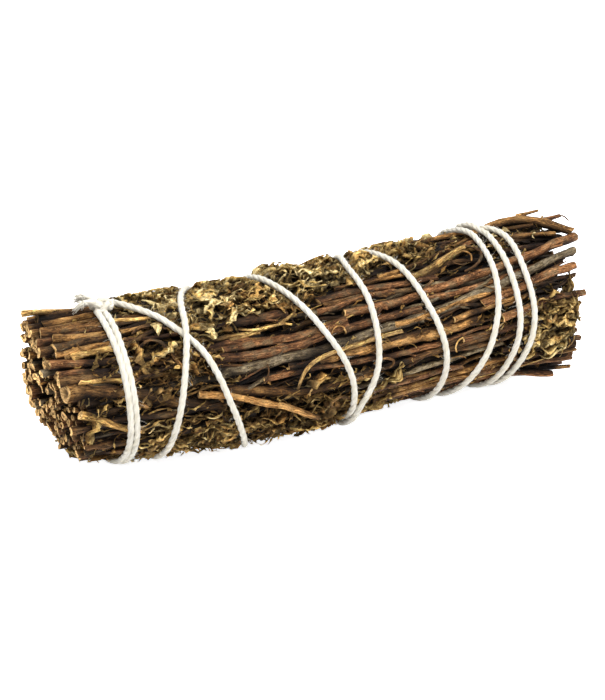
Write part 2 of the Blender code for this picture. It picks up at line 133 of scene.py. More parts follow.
# Stems that lie uppermost: bark, radius in mm at the cut end and maybe at the tip, how far they stand out
# of the bundle in mm, then (x in mm, angle in degrees, and maybe its own standing out) along the stem
SURFACE_STEMS = (
    (STRAW, 0.72, 1.7, (
        (-63.3, -9, 4.6), (-59, -11, 3.4), (-55, -17, 2.0), (-51, -18, 1.2), (-46, -19, 0.3),
    )),
    (DARK, (1.3, 1.0), 0, ((-60, -14, 2.1), (-52, -12, 1.3), (-46, -12, 0.8), (-30, -6, 0.2))),
    (DARK, (1.1, 0.9), 0, ((-61, 5, 1.2), (-51, 13, 0.6), (-42, 12, 0.4), (-30, 10, 0.2))),
    (TAN, 0.9, 0, ((-61, -26, 1.6), (-50, -26, 0.9), (-38, -22, 0.2))),
    (RED, 0.8, 0, ((-62, -20, 1.2), (-50, -19, 0.7), (-40, -16, 0.1))),
    (DARK, 0.9, 0, ((-62.5, -8, 0.8), (-52, -6, 0.4), (-42, -4, 0))),
    (TAN, 0.75, 0, ((-62.8, 0, 0.6), (-50, 3, 0.2), (-42, 4, 0))),
    (RED, 0.8, 0, ((-62.5, 12, 0.1), (-52, 16, 0), (-40, 14, 0))),
    (DARK, 0.9, 0, ((-62.8, 22, -0.3), (-54, 22, -0.2), (-44, 20, 0))),
    (TAN, 0.8, 0, ((-61.8, -38, 0.8), (-50, -36, 0.6), (-38, -34, 0.1))),
    (TAN, 0.8, 0, ((-59.5, -4, 1.3), (-50, -3, 0.7), (-38, -4, 0.2))),
    (TAN, (1.1, 0.9), 0.5, ((-59, 12), (-55, 19), (-44, 24))),
    (DARK, 1.15, 0.3, ((-60, 24), (-49, 25), (-38, 17))),
    (TAN, 0.6, 0.3, ((-60, 31), (-53, 30), (-44, 32))),
    (STRAW, 0.75, 0.4, ((-57, 35), (-50, 36), (-43, 34))),
    (RED, 1.0, 0.2, ((-62, 36), (-47, 46), (-32, 50), (-20, 49))),
    (RED, 0.8, 0.0, ((-61, 45), (-56, 48), (-44, 54))),
    (TAN, 1.05, 0.3, ((-61, 52), (-57, 52), (-48, 56))),
    (STRAW, 0.62, 0.3, ((-57, 53), (-48, 61), (-40, 63))),
    (TAN, (1.8, 1.4), 0.3, ((-60, 60), (-52, 65), (-44, 73), (-38, 84), (-27, 99))),
    (STRAW, 0.95, 0.4, ((-58, 77), (-54, 85), (-49, 98), (-45, 106))),
    (GREY, (1.05, 0.8), 0, (
        (-43, 68, 0.1), (-36, 72, 0.1), (-19, 70, 0.1), (0, 67, 0.2), (23, 58, 0.3), (46, 45, 0.5),
        (56, 36, 0.7), (63, 30, 0.7),
    )),
    (RED, 0.95, 0.2, ((-30, 60), (-23, 61), (-10, 62), (-2, 57), (3, 53))),
    (RED, 1.0, 0.2, ((2, 58), (11, 55), (21, 52))),
    (RED, 0.9, 0.3, ((-26, 53), (-14, 54), (-3, 54), (3, 49))),
    (RED, (0.9, 1.15), 0, ((-30, 33, 0), (-21, 35, 0.6), (-15, 35, 0.8), (-10, 37, 0.9))),
    (STRAW, (0.5, 0.6), 0.3, ((-24, 47), (-17, 46), (-11, 42), (-8, 37))),
    (STRAW, 0.55, 0.4, ((-33, 42), (-26, 45), (-17, 47))),
    (RED, 0.85, 0.3, ((-2, 33), (7, 28), (13, 30), (27, 31))),
    (RED, 0.6, 0.3, ((-3, 41), (7, 36), (16, 35))),
    (DARK, 0.6, 0.2, ((-1, 37), (10, 33), (20, 38))),
    (TAN, 0.5, 0.3, ((3, 24), (13, 22), (24, 26))),
    (RED, (0.85, 1.05), 0, (
        (3, 45, 0.1), (11, 46, 0.2), (32, 38, 0.3), (44, 34, 0.4), (50, 30, 0.6), (56, 26, 1.1),
        (60, 23, 1.0), (65, 20, 0.8),
    )),
    (STRAW, 0.5, 0.3, ((0, 71), (9, 68), (15, 66))),
    (TAN, 1.25, 0.2, ((-5, 74), (1, 74), (9, 75), (23, 74), (34, 69))),
    (TAN, 1.30, 0.2, ((-28, 84), (-16, 91), (-11, 98), (-5, 101), (8, 96))),
    (TAN, (0.7, 0.6), 0, (
        (-33, 79, 0.8), (-25, 88, 1.4), (-17, 100, 1.7), (-14, 104, 1.7), (-11.2, 107.5, 1.7),
        (-8.2, 116, 1.6), (-5, 129, 1.2),
    )),
    (DARK, 0.8, 0.0, ((2, 94), (9, 92), (24, 89), (38, 84))),
    (GREY, 0.75, 0.0, ((0, 108), (9, 104), (24, 100), (40, 92))),
    (TAN, 0.85, 0.0, ((4, 122), (14, 120), (26, 118), (44, 108))),
    (STRAW, (1.0, 0.9), 0, ((21, 29, 0.3), (26, 24, 0.9), (31, 18, 1.1), (34, 13, 1.1), (37.5, 8, 1.2))),
    (TAN, 0.6, 0.5, ((14, 22), (26, 16), (34, 6))),
    (RED, 1.0, 0.3, ((36, 60), (50, 50), (61.6, 43))),
    (RED, 0.7, 0.8, ((24, -22), (35, -27), (45, -31))),
    (TAN, 0.65, 0.9, ((27, -14), (37, -19), (47, -25))),
    (RED, 0.85, 0.7, ((40, 74), (50, 66), (61.8, 66))),
    (TAN, 0.95, -0.3, ((36, 118), (54, 116), (61, 114))),
    (RED, 0.8, 0.2, ((30, 142), (50, 132), (61, 126))),
    (DARK, 1.1, 0.6, ((20, 152), (40, 146), (56, 142))),
    (TAN, (1.2, 0.95), 0, (
        (42, -8, 0.7), (46, -10, 1.7), (50, -12, 2.8), (54, -12, 3.2), (57, -6, 3.1), (59.5, 5, 2.7),
        (62, 15, 2.2), (64.3, 22, 1.7),
    )),
    (TAN, (0.5, 0.35), 0, ((55, -11, 2.6), (57.5, -9, 3.3), (60.5, -7, 3.5))),
    (RED, (0.6, 0.45), 0, ((59, 3, 2.0), (61.5, 4, 2.9), (63.5, 5, 3.5))),
    (RED, (0.8, 0.75), 0, ((36, 132, 0), (45, 132, 0.8), (55, 133, 3.9))),
    (RED, (0.6, 0.5), 0, ((42, 122, 0), (50, 122, 0.8), (59.5, 124, 1.6))),
    (TAN, (0.6, 0.45), 0, ((44, 112, 0), (52, 113, 0.4), (60.5, 118, 0.6))),
    (RED, (0.85, 0.8), 0, ((40, 100, 0), (52, 106, 0), (62.4, 113, -1.6))),
    (TAN, 0.8, 0.2, ((44, 12), (50, 10), (62, 16))),
    (TAN, (0.7, 0.55), 0, ((46, 5, 0.2), (50, 7, 0.7), (54, 11, 1.2), (60, 19, 1.6))),
    (TAN, (0.5, 0.4), 0, ((46, -6, 0.3), (51, -4, 0.8), (54, 0, 1.4), (57, 5, 1.7))),
    (RED, (0.55, 0.45), 0, ((45, 20, 0.2), (51, 22, 0.6), (55, 23, 1.0), (60, 26, 1.0))),
    (RED, 0.6, 0.6, ((46, 2), (54, 8), (63, 12))),
    (RED, 0.75, 0.0, ((30, 84), (44, 80), (56, 82))),
    (DARK, 0.9, 0.0, ((-57, 112), (-47, 114), (-32, 112), (-20, 108))),
    (TAN, 0.95, 0.2, ((-58, 128), (-46, 124), (-30, 130))),
    (GREY, 0.85, 0.3, ((-24, 126), (-10, 133), (4, 138), (18, 132))),
    (TAN, 0.8, 0.6, ((-30, 150), (-12, 146), (6, 150))),
    (TAN, 1.0, 0.2, ((-14, 140), (4, 147), (24, 150))),
    (TAN, 0.9, 0.4, ((-6, 164), (10, 158), (28, 158))),
    (RED, 0.8, 0.6, ((-8, 158), (14, 150), (40, 144), (60, 140))),
    (RED, 0.85, 0.3, ((5, 131), (14, 129), (24, 127), (36, 124), (46, 122))),
    (RED, 0.75, 0.4, ((8, 112), (18, 111), (30, 106))),
    (TAN, 0.6, 0.5, ((9, 126), (20, 123), (33, 119))),
    (DARK, 0.8, 0.0, ((6, 140), (20, 141), (36, 138))),
    (RED, (0.4, 0.3), 0, ((3, 136, 0.4), (7, 141, 0.9), (10.5, 146, 1.5))),
    (TAN, (0.6, 0.5), 0, ((48, 134, 0.4), (54, 135, 1.4), (60.5, 134, 2.7))),
    (STRAW, 0.5, 0.9, ((-47, 12), (-38, 18), (-32, 20))),
    (TAN, 0.5, 0.8, ((-46, 24), (-39, 24), (-33, 22))),
    (TAN, 0.55, 0.7, ((-46, 40), (-41, 31), (-38, 25), (-34, 22))),
    (STRAW, 0.55, 0.4, ((-47, 46), (-40, 47), (-35, 50))),
    (TAN, 0.45, 0.5, ((-41, 53), (-37, 52), (-33, 53))),
    (RED, 0.55, 0.4, ((-46, 63), (-40, 59), (-35, 55))),
    (DARK, 0.55, 0.6, ((-48, 18), (-40, 14), (-30, 16))),
    (RED, 0.5, 0.5, ((-46, 31), (-36, 36), (-27, 36))),
    (DARK, 0.9, 0.2, ((-33, 24), (-22, 25), (-12, 17))),
    (TAN, 0.65, 0.2, ((14, 62), (28, 56), (38, 52))),
    (RED, 0.7, 0.1, ((-18, 82), (-4, 80), (12, 84), (24, 82))),
    (DARK, 0.7, 0.0, ((-12, 76), (4, 76), (16, 69))),
    (DARK, 0.9, 0.0, ((-60, 92), (-46, 90), (-36, 94), (-22, 92))),
    (RED, 0.7, 0.0, ((22, 46), (36, 46), (52, 38))),
    (TAN, 0.65, 0.3, ((28, 68), (36, 62), (44, 60))),
)
# Strips, tendrils and hooked twigs that curl over the stems: bark, radius and how much it is flattened, then
# (x in mm, angle in degrees, standing out in mm)
CURLS = (
    (STRAW, 0.55, 3.0, (
        (-10.9, 93, 0.5), (-10.5, 86, 1.0), (-9.5, 79, 1.4), (-7.4, 74, 1.5), (-4, 71, 1.3), (0, 70, 0.8),
        (3, 69, 0.3),
    )),
    (DARK, 0.36, 1.0, (
        (33, 12, 0.3), (36, 9, 0.7), (38.6, 12, 0.9), (40, 19, 0.9), (39, 26, 0.8), (36.5, 31, 0.6),
        (33.5, 33, 0.3),
    )),
    (TAN, 0.22, 1.0, ((34, 13, 0.2), (36.5, 13, 0.5), (37.8, 19, 0.6), (36.5, 26, 0.3))),
    (RED, 0.2, 1.0, ((61.6, 4, 2.7), (63.2, 5, 2.9), (64.2, 8, 2.8), (64.5, 12, 2.1))),
    (STRAW, 0.24, 2.0, (
        (58.5, 98, 0.5), (59, 105, 0.2), (57.5, 112, 0.3), (52, 119, 0.5), (44, 124, 0.4), (34, 128, 0.2),
    )),
    (DARK, 0.42, 2.2, ((-44, 41, 0.6), (-41, 36, 1.0), (-38.5, 40, 1.1), (-38, 46, 0.8), (-39.5, 50, 0.4))),
    (TAN, 0.4, 2.4, ((-37.6, 44, 0.5), (-37, 52, 0.9), (-35.8, 60, 0.9), (-35.8, 66, 0.4))),
    (DARK, 0.35, 1.8, ((-44, 29, 0.5), (-42, 25, 0.9), (-38, 26, 1.0), (-36.5, 31, 0.6))),
    (STRAW, 0.36, 2.5, ((-14, 45, 0.6), (-11, 42, 0.8), (-8.5, 38, 0.7), (-7.4, 34, 0.4))),
    (DARK, 0.3, 1.0, ((7, 86, 0.4), (9.5, 82, 0.9), (12, 85, 1.0), (11.5, 90, 0.7), (9, 91, 0.3))),
    (TAN, 0.36, 2.0, ((2, 112, 0.5), (-1, 106, 1.0), (-3, 110, 1.1), (-2, 117, 0.6))),
    (STRAW, 0.32, 2.4, ((-22, 41, 0.3), (-18, 45, 0.7), (-12, 44, 0.9), (-9.6, 46, 0.5))),
)


def colour_setting(name, description, default):
    return FloatVectorProperty(
        name=name, description=description, subtype="COLOR", default=default, min=0, max=1
    )


def length_setting(name, description, default, low, high):
    """A length, given in mm."""
    return FloatProperty(
        name=name, description=description, subtype="DISTANCE", unit="LENGTH",
        default=default * MM, min=low * MM, max=high * MM,
    )


def point_setting(name, description, default):
    return FloatVectorProperty(
        name=name, description=description, subtype="TRANSLATION", unit="LENGTH", default=default,
    )


class StemSettings(bpy.types.PropertyGroup):
    thin_count: IntProperty(name="Thin stems", description="How many thin stems lie between", default=490)
    brown: colour_setting("Brown bark", "Bark of the brown stems", (0.134, 0.060, 0.023))
    grey: colour_setting("Grey bark", "Bark of the weathered stems", (0.118, 0.088, 0.050))
    tan: colour_setting("Tan bark", "Bark of the pale stems", (0.188, 0.095, 0.029))
    dark: colour_setting("Dark bark", "Bark of the darkest stems", (0.080, 0.039, 0.013))
    straw: colour_setting("Peeled stem", "Stems that have lost their bark", (0.440, 0.258, 0.082))
    cut_wood: colour_setting("Cut wood", "The cut faces of the stems", (0.860, 0.560, 0.240))


class LeafSettings(bpy.types.PropertyGroup):
    leaf_count: IntProperty(name="Leaves", description="How many whole crumpled leaves", default=800)
    shred_count: IntProperty(name="Shreds", description="How many narrow curled shreds of leaf", default=3000)
    crumb_count: IntProperty(name="Crumbs", description="How many small torn bits of leaf", default=2300)
    length: length_setting("Leaf length", "Length of a middling leaf", 7.0, 2, 20)
    khaki: colour_setting("Leaf khaki", "The usual colour of the leaves", (0.670, 0.460, 0.160))
    olive: colour_setting("Leaf olive", "The colour of the greener leaves", (0.700, 0.570, 0.305))
    umber: colour_setting("Leaf umber", "The colour of the browner leaves", (0.430, 0.240, 0.078))


class TwineSettings(bpy.types.PropertyGroup):
    diameter: length_setting("Diameter", "Thickness of the twine", 1.42, 0.5, 4)
    lay: length_setting("Lay", "Length of one turn of the twine's own twist", 6.0, 2, 20)
    fibre_count: IntProperty(name="Loose fibres", description="How many fibres stand off it", default=2600)
    cotton: colour_setting("Cotton", "Colour of the twine", (0.600, 0.572, 0.500))


class StageSettings(bpy.types.PropertyGroup):
    camera_place: point_setting("Camera", "Where the camera stands", (-0.1477, -0.3060, 0.1818))
    camera_aim: point_setting("Aim", "What the camera looks at", (-0.00134, -0.0007, 0.01598))
    lens: FloatProperty(name="Lens", description="Focal length", subtype="DISTANCE_CAMERA", default=87.5)
    white: colour_setting("Floor", "Colour of the floor and the backdrop", (0.95, 0.95, 0.96))


# ---------------------------------------------------------------- places on the bundle


def wrap_radius(x):
    return WRAP_RADIUS * (1 + WRAP_TAPER * x / HALF_LENGTH)


def press(x):
    """The share of its depth that the lower half of the bundle keeps."""
    return (AXIS_HEIGHT - LOWEST_TWINE) / wrap_radius(x)


def sag(x, angle):
    """How the bundle departs from round: slack low at the front, drawn up under its cut ends."""
    low = bell_round(angle, 137, 27) * smooth_step(x, -52 * MM, -34 * MM)
    corner = bell_round(angle, 165, 48) * smooth_step(-x, 45 * MM, 58 * MM)
    top = bell_round(angle, -22, 34)
    hollow = (
        0.045 * bell(x, -12 * MM, 15 * MM) - 0.075 * bell(x, -6 * MM, 3.6 * MM)
        + 0.05 * bell(x, 2 * MM, 3 * MM)
    )
    low = low * (0.024 + 0.094 * bell(x, -15 * MM, 21 * MM))
    return 1 + low - 0.14 * corner - top * hollow


def bell(value, middle, width):
    """A smooth bump along a line."""
    return np.exp(-(((value - middle) / width) ** 2))


def bell_round(angle, middle, width):
    """A smooth bump round the bundle, its middle and width in degrees."""
    return bell((np.degrees(angle) - middle + 180) % 360 - 180, 0, width)


def place(x, angle, reach):
    x, angle, reach = np.broadcast_arrays(x, angle, reach)
    reach = reach * sag(x, angle)
    up = np.cos(angle)
    up = np.where(up < 0, up * press(x), up)
    return np.stack([x, AXIS_Y - reach * np.sin(angle), AXIS_HEIGHT + reach * up], axis=-1)


def unplace(points):
    """The (x, angle, reach) of points in space."""
    x = points[..., 0]
    across = AXIS_Y - points[..., 1]
    up = points[..., 2] - AXIS_HEIGHT
    up = np.where(up < 0, up / press(x), up)
    angle = np.arctan2(across, up)
    return x, angle, np.hypot(across, up) / sag(x, angle)


def fitted(reach, x):
    """A reach made to follow the bundle's taper and its narrowing at the cut ends."""
    return reach * wrap_radius(x) / WRAP_RADIUS * drawn_in(x)


def smooth_step(value, low, high):
    t = np.clip((value - low) / (high - low), 0, 1)
    return t * t * (3 - 2 * t)


def ease(values, width):
    """A running mean with a bell-shaped weight."""
    width = max(width, 0.5)
    span = int(3 * width) + 1
    weight = np.exp(-0.5 * (np.arange(-span, span + 1) / width) ** 2)
    padded = np.pad(values, span, mode="edge")
    return np.convolve(padded, weight / weight.sum(), mode="valid")


def ripple(along, chance, wave, amount):
    """A slow random wander along a line, as an array as long as `along`."""
    total = np.zeros_like(along)
    for octave in range(3):
        length = wave / (1.7**octave)
        total += np.sin(along / length * math.tau + chance.uniform(0, math.tau)) / (1.5**octave)
    return amount * total / 2


# ---------------------------------------------------------------- meshes


class Heap:
    """Gathers vertices, faces and what their materials read, and turns them into one mesh object."""

    def __init__(self):
        self.verts, self.quads, self.tris = [], [], []
        self.quad_slots, self.tri_slots = [], []
        self.tones, self.grains = [], []
        self.count = 0

    def add(self, verts, quads, tris=(), slot=0, tone=0.5, grain=None):
        """grain is a vector for each vertex: where it lies along and round its own stem, leaf or ply."""
        verts = np.asarray(verts, float).reshape(-1, 3)
        self.verts.append(verts)
        for faces, kept, slots in ((quads, self.quads, self.quad_slots), (tris, self.tris, self.tri_slots)):
            if len(faces):
                faces = np.asarray(faces, int) + self.count
                kept.append(faces)
                slots.append(np.full(len(faces), slot))
        self.tones.append(np.broadcast_to(np.asarray(tone, float), len(verts)))
        self.grains.append(np.zeros((len(verts), 3)) if grain is None else np.asarray(grain).reshape(-1, 3))
        self.count += len(verts)

    def build(self, name, materials, sharp=None):
        verts = np.concatenate(self.verts)
        faces = [face for group in (*self.quads, *self.tris) for face in group.tolist()]
        slots = np.concatenate([*self.quad_slots, *self.tri_slots])
        mesh = bpy.data.meshes.new(name)
        mesh.from_pydata(verts.tolist(), [], faces)
        mesh.polygons.foreach_set("material_index", slots.astype(np.int32))
        mesh.polygons.foreach_set("use_smooth", np.ones(len(faces), bool))
        tone = mesh.attributes.new("tone", "FLOAT", "POINT")
        tone.data.foreach_set("value", np.concatenate(self.tones).astype(np.float32))
        grain = mesh.attributes.new("grain", "FLOAT_VECTOR", "POINT")
        grain.data.foreach_set("vector", np.concatenate(self.grains).astype(np.float32).ravel())
        for material in materials:
            mesh.materials.append(material)
        if sharp is not None:
            mesh.set_sharp_from_angle(angle=sharp)
        mesh.update()
        return new_object(name, mesh)


def new_object(name, data):
    obj = bpy.data.objects.new(name, data)
    bpy.context.scene.collection.objects.link(obj)
    return obj


def unit(vectors):
    return vectors / np.maximum(np.linalg.norm(vectors, axis=-1, keepdims=True), 1e-12)


def off_axis(points):
    """The direction away from the bundle's axis at each point."""
    return unit((points - (0, AXIS_Y, AXIS_HEIGHT)) * (0, 1, 1))


def along_line(points):
    steps = np.linalg.norm(np.diff(points, axis=0), axis=1)
    return np.concatenate([[0], np.cumsum(steps)])


def line_frame(points):
    """The direction, and two directions across it that don't twist, at each point of a line."""
    ahead = unit(np.gradient(points, axis=0))
    side = np.empty_like(points)
    side[0] = unit(np.cross(ahead[0], (0.0, 0.0, 1.0) if abs(ahead[0][2]) < 0.9 else (1.0, 0.0, 0.0)))
    for k in range(1, len(points)):
        across = side[k - 1] - ahead[k] * np.dot(side[k - 1], ahead[k])
        side[k] = across / np.linalg.norm(across)
    return ahead, side, np.cross(ahead, side)


def skin(rings, middles=()):
    """A tube's vertices and faces through rings of points, with a fan round each end's middle, if any."""
    count, sides = rings.shape[:2]
    k, j = np.meshgrid(np.arange(count - 1), np.arange(sides), indexing="ij")
    after = (j + 1) % sides
    quads = np.stack([k * sides + j, k * sides + after, (k + 1) * sides + after, (k + 1) * sides + j], -1)
    verts, tris = rings.reshape(-1, 3), []
    if len(middles):
        ring, first, last = np.arange(sides), count * sides, (count - 1) * sides
        verts = np.concatenate([verts, middles])
        tris = np.concatenate([
            np.stack([np.full(sides, first), (ring + 1) % sides, ring], -1),
            np.stack([np.full(sides, first + 1), last + ring, last + (ring + 1) % sides], -1),
        ])
    return verts, quads.reshape(-1, 4), tris


def tube(heap, points, radii, sides, slot=0, tone=0.5, seed=0.0, close_ends=True):
    """A tube round a line. radii is one for each point, or one for each point and side."""
    _, side, other = line_frame(points)
    radii = np.asarray(radii, float)
    radii = np.repeat(radii[:, None], sides, axis=1) if radii.ndim == 1 else radii
    turn = np.arange(sides) * math.tau / sides
    out = side[:, None] * np.cos(turn)[None, :, None] + other[:, None] * np.sin(turn)[None, :, None]
    rings = points[:, None] + out * radii[..., None]
    grain = np.zeros((len(points), sides, 3))
    grain[..., 0] = along_line(points)[:, None] / MM + seed * 37.0
    grain[..., 1] = np.cos(turn)[None] * radii / MM + seed * 11.0
    grain[..., 2] = np.sin(turn)[None] * radii / MM
    grain = grain.reshape(-1, 3)
    if close_ends:
        grain = np.concatenate([grain, grain[:1], grain[-1:]])
    heap.add(*skin(rings, points[[0, -1]] if close_ends else ()), slot, tone, grain)
    return rings


# ---------------------------------------------------------------- stems


def spread(points, spacing):
    """Smooth (x, angle, reach) samples through a few points of a stem."""
    points = np.asarray(points, float)
    xs = points[:, 0]
    count = max(int(abs(xs[-1] - xs[0]) / spacing), 8)
    x = np.linspace(xs[0], xs[-1], count)
    width = 3.5 * MM / max(abs(x[1] - x[0]), 1e-6)
    angle = ease(np.interp(x, xs, points[:, 1]), width)
    reach = ease(np.interp(x, xs, points[:, 2]), width)
    return x, angle, reach


def bark_radii(length, radius, sides, chance):
    """A radius for each station and side of a stem: ridges, joints where leaves grew, and slow changes."""
    turn = np.arange(sides) * math.tau / sides
    radii = np.repeat(radius[:, None], sides, axis=1)
    swirl = length[:, None] / (30 * MM)
    for waves, depth in ((2, 0.10), (3, 0.07), (5, 0.045)):
        radii = radii * (1 + depth * np.sin(
            waves * turn[None] + swirl * chance.uniform(-1, 1) + chance.uniform(0, 6)
        ))
    radii = radii * (1 + ripple(length, chance, 7 * MM, 0.07))[:, None]
    spot = chance.uniform(3, 10) * MM
    while spot < length[-1]:
        size = chance.uniform(0.12, 0.42)
        width = chance.uniform(0.5, 1.2) * MM
        facing = chance.uniform(0, math.tau)
        swell = np.exp(-(((length - spot) / width) ** 2))[:, None]
        radii = radii * (1 + size * swell * (0.35 + 0.65 * np.maximum(np.cos(turn[None] - facing), 0) ** 2))
        spot += chance.uniform(7, 19) * MM
    return radii


def cut_face(heap, ring, middle, outward, chance, tone):
    """The cut end of a stem: a face a little askew, with the soft heart sunk or torn."""
    sides = len(ring)
    radius = np.linalg.norm(ring - middle, axis=1).mean()
    shares = (1.0, 0.72, 0.34)
    rows = []
    for share, depth in zip(shares, (0.0, 0.16, chance.uniform(-0.15, 0.22)), strict=True):
        row = middle + (ring - middle) * share + outward * radius * depth
        if share < 1:
            row = row + outward * (chance.random((sides, 1)) - 0.5) * 0.22 * radius
        rows.append(row)
    centre = middle + outward * radius * chance.uniform(-0.35, 0.2)
    verts = np.concatenate([*rows, centre[None]])
    quads = np.roll(skin(np.array(rows))[1][:, ::-1], 1, axis=1)
    j = np.arange(sides)
    tris = np.stack([2 * sides + j, np.full(sides, 3 * sides), 2 * sides + (j + 1) % sides], -1)
    grain = np.zeros((len(verts), 3))
    grain[:, 0] = np.concatenate([np.repeat(shares, sides), [0.0]])
    grain[:, 1:] = (verts - middle)[:, 1:] / MM + chance.uniform(0, 50)
    heap.add(verts, quads, tris, CUT_WOOD, tone, grain)


def stubs(heap, points, radii, ahead, bark, tone, chance):
    """Short broken side twigs, which lean towards the tips."""
    spot = chance.uniform(4, 16)
    while spot * MM < np.linalg.norm(points[-1] - points[0]) - 3 * MM:
        k = int(spot * MM / np.linalg.norm(points[1] - points[0])) % len(points)
        outward = off_axis(points[k])
        side = np.cross(ahead[k], outward) * chance.choice([-1, 1])
        way = (
            ahead[k] * chance.uniform(0.5, 1.3) + side * chance.uniform(0.5, 1)
            + outward * chance.uniform(0, 0.3)
        )
        size = radii[k] * chance.uniform(1.6, 3.4)
        share = np.linspace(0, 1, 4)[:, None]
        line = points[k] + unit(way) * size * share + ahead[k] * size * 0.3 * share**2
        thick = radii[k] * chance.uniform(0.30, 0.52) * np.array([1.25, 1.0, 0.9, 0.8])
        tube(heap, line, thick, 5, bark, tone, chance.uniform(0, 9))
        spot += chance.uniform(9, 30)


def stem(heap, line, radius, bark, chance, sides=10, taper=0.74, wander=0.5, pointed=False):
    """One stem with bark and its two ends. line is (x, angle, reach) samples."""
    x, angle, reach = line
    rough = x - x[0]
    angle = angle + ripple(rough, chance, 34 * MM, wander * MM) / np.maximum(reach, 5 * MM)
    angle = angle + ripple(rough, chance, 11 * MM, 0.14 * MM) / np.maximum(reach, 5 * MM)
    reach = reach + ripple(rough, chance, 27 * MM, 0.35 * wander * MM)
    points = place(x, angle, reach)
    points[:, 2] = np.maximum(points[:, 2], radius * 1.08 + TABLE_GAP)
    length = along_line(points)
    share = length / length[-1]
    radii = bark_radii(length, radius * (1 + (taper - 1) * share), sides, chance)
    flare = 1 + 0.10 * np.exp(-length / (1.2 * MM))
    if pointed:
        flare = 0.3 + 0.7 * smooth_step(np.minimum(length, length[-1] - length), -0.5 * MM, 4 * MM)
    radii = radii * flare[:, None]
    ahead, _, _ = line_frame(points)
    tone = float(np.clip(chance.normal(0.5, 0.2), 0, 1))
    if reach.mean() > OUTER_REACH:
        stubs(heap, points, radii.mean(1), ahead, bark, tone, chance)
    rings = tube(heap, points, radii, sides, bark, tone, chance.uniform(0, 9), close_ends=False)
    skew = (chance.random((2, sides)) - 0.5) * 0.22 * radius
    lean = chance.uniform(-0.5, 0.5, 2)
    turn = np.arange(sides) * math.tau / sides + chance.uniform(0, math.tau)
    for end, station, outward in ((0, 0, -ahead[0]), (1, -1, ahead[-1])):
        size = radii[station].mean()
        slip = (lean[end] * np.cos(turn) * size + skew[end])[:, None] * outward
        ring = rings[station] + slip
        start = 0 if station == 0 else (len(points) - 1) * sides
        heap.verts[-1 - end][start : start + sides] = ring
        order = ring if end == 0 else ring[::-1]
        cut_tone = float(np.clip(chance.normal(0.55 if end == 0 else 0.25, 0.22), 0, 1))
        cut_face(heap, order, ring.mean(0), outward, chance, cut_tone)


def cad_stem_line(node):
    """The middle line of a packed stem, from its rings of vertices."""
    verts = np.array([vert.co for vert in FRAME["nodes"][node].data.vertices], float)
    verts = np.unique(verts.round(7), axis=0)
    verts = verts[np.argsort(verts[:, 0])]
    breaks = np.nonzero(np.diff(verts[:, 0]) > 4 * MM)[0] + 1
    rings = np.split(verts, breaks)
    middles = np.array([ring.mean(0) for ring in rings])
    sizes = [np.linalg.norm(ring - middle, axis=1).max() for ring, middle in zip(rings, middles, strict=True)]
    x, angle, reach = unplace(middles)
    return np.stack([x, np.unwrap(angle), reach], -1), max(sizes)


@functools.lru_cache
def main_stem_plans():
    """For each packed stem: its samples, radius, bark and seed."""
    slots = {entry["node"]: entry["material_slot"] for entry in FRAME["record"]["subparts"]}
    plans = {}
    nodes = sorted(name for name in FRAME["nodes"] if name.startswith("stem_"))
    for number, node in enumerate(nodes):
        chance = np.random.default_rng(MAIN_SEED + number)
        line, radius = cad_stem_line(node)
        bark = {"brown_bark": RED, "grey_bark": GREY, "tan_bark": TAN}[slots[node]]
        if bark == RED and chance.random() < 0.35 or bark == GREY and chance.random() < 0.4:
            bark = DARK
        spacing = 1.0 * MM if line[:, 2].mean() > OUTER_REACH else 2.2 * MM
        plans[node] = (spread(line, spacing), radius, bark, MAIN_SEED + number)
    return plans


@functools.lru_cache
def surface_stem_plans():
    plans = []
    for number, (bark, radius, rise, spots) in enumerate(SURFACE_STEMS):
        thick, tip = radius if isinstance(radius, tuple) else (radius, 0.86 * radius)
        line = spread(on_top(spots, rise, thick), 0.9 * MM)
        plans.append((line, thick * MM, bark, SURFACE_SEED + number, tip / thick))
    return plans


def small_curls():
    """Fine dry tendrils that hook and coil all over the bundle."""
    chance = np.random.default_rng(77)
    for _ in range(70):
        x, angle = chance.uniform(-54, 56), chance.uniform(-180, 180)
        heading, bend = chance.uniform(0, math.tau), np.clip(chance.normal(0, 0.9), -0.7, 0.7)
        spots = []
        for step in range(5):
            spots.append((x, angle, -0.2 + 0.6 * math.sin((step + 0.5) / 5 * math.pi)))
            x += 1.3 * math.cos(heading)
            angle += 4.4 * math.sin(heading)
            heading += bend
        yield (
            int(chance.choice([TAN, STRAW, GREY, DARK])), chance.uniform(0.13, 0.24),
            chance.uniform(1, 2.4), spots,
        )


def tendril(heap, spots, radius, flatness, bark):
    """A tendril or strip through a few spots, flattened against the bundle's surface."""
    line = on_top(spots, 0, 0)
    line[:, 1] = np.unwrap(line[:, 1])
    coarse = np.linspace(0, len(line) - 1, 3 * len(line) if radius < 0.25 * MM else 5 * len(line))
    x, angle, reach = (ease(np.interp(coarse, np.arange(len(line)), column), 1.5) for column in line.T)
    strip = place(x, angle, reach)
    turn = np.linspace(0, math.tau, 5 if radius < 0.25 * MM else 7, endpoint=False)
    outward = off_axis(strip)
    _, side, other = line_frame(strip)
    flat = (np.arctan2((outward * other).sum(1), (outward * side).sum(1)))[:, None]
    radii = radius / np.sqrt(np.sin(turn[None] - flat) ** 2 + flatness**2 * np.cos(turn[None] - flat) ** 2)
    radii = radii * (0.35 + 0.65 * np.sin(np.linspace(0.25, 2.7, len(strip))) ** 0.5)[:, None]
    tube(heap, strip, radii, len(turn), bark, 0.45 + 0.3 * math.sin(3 * spots[0][0]), spots[0][0])


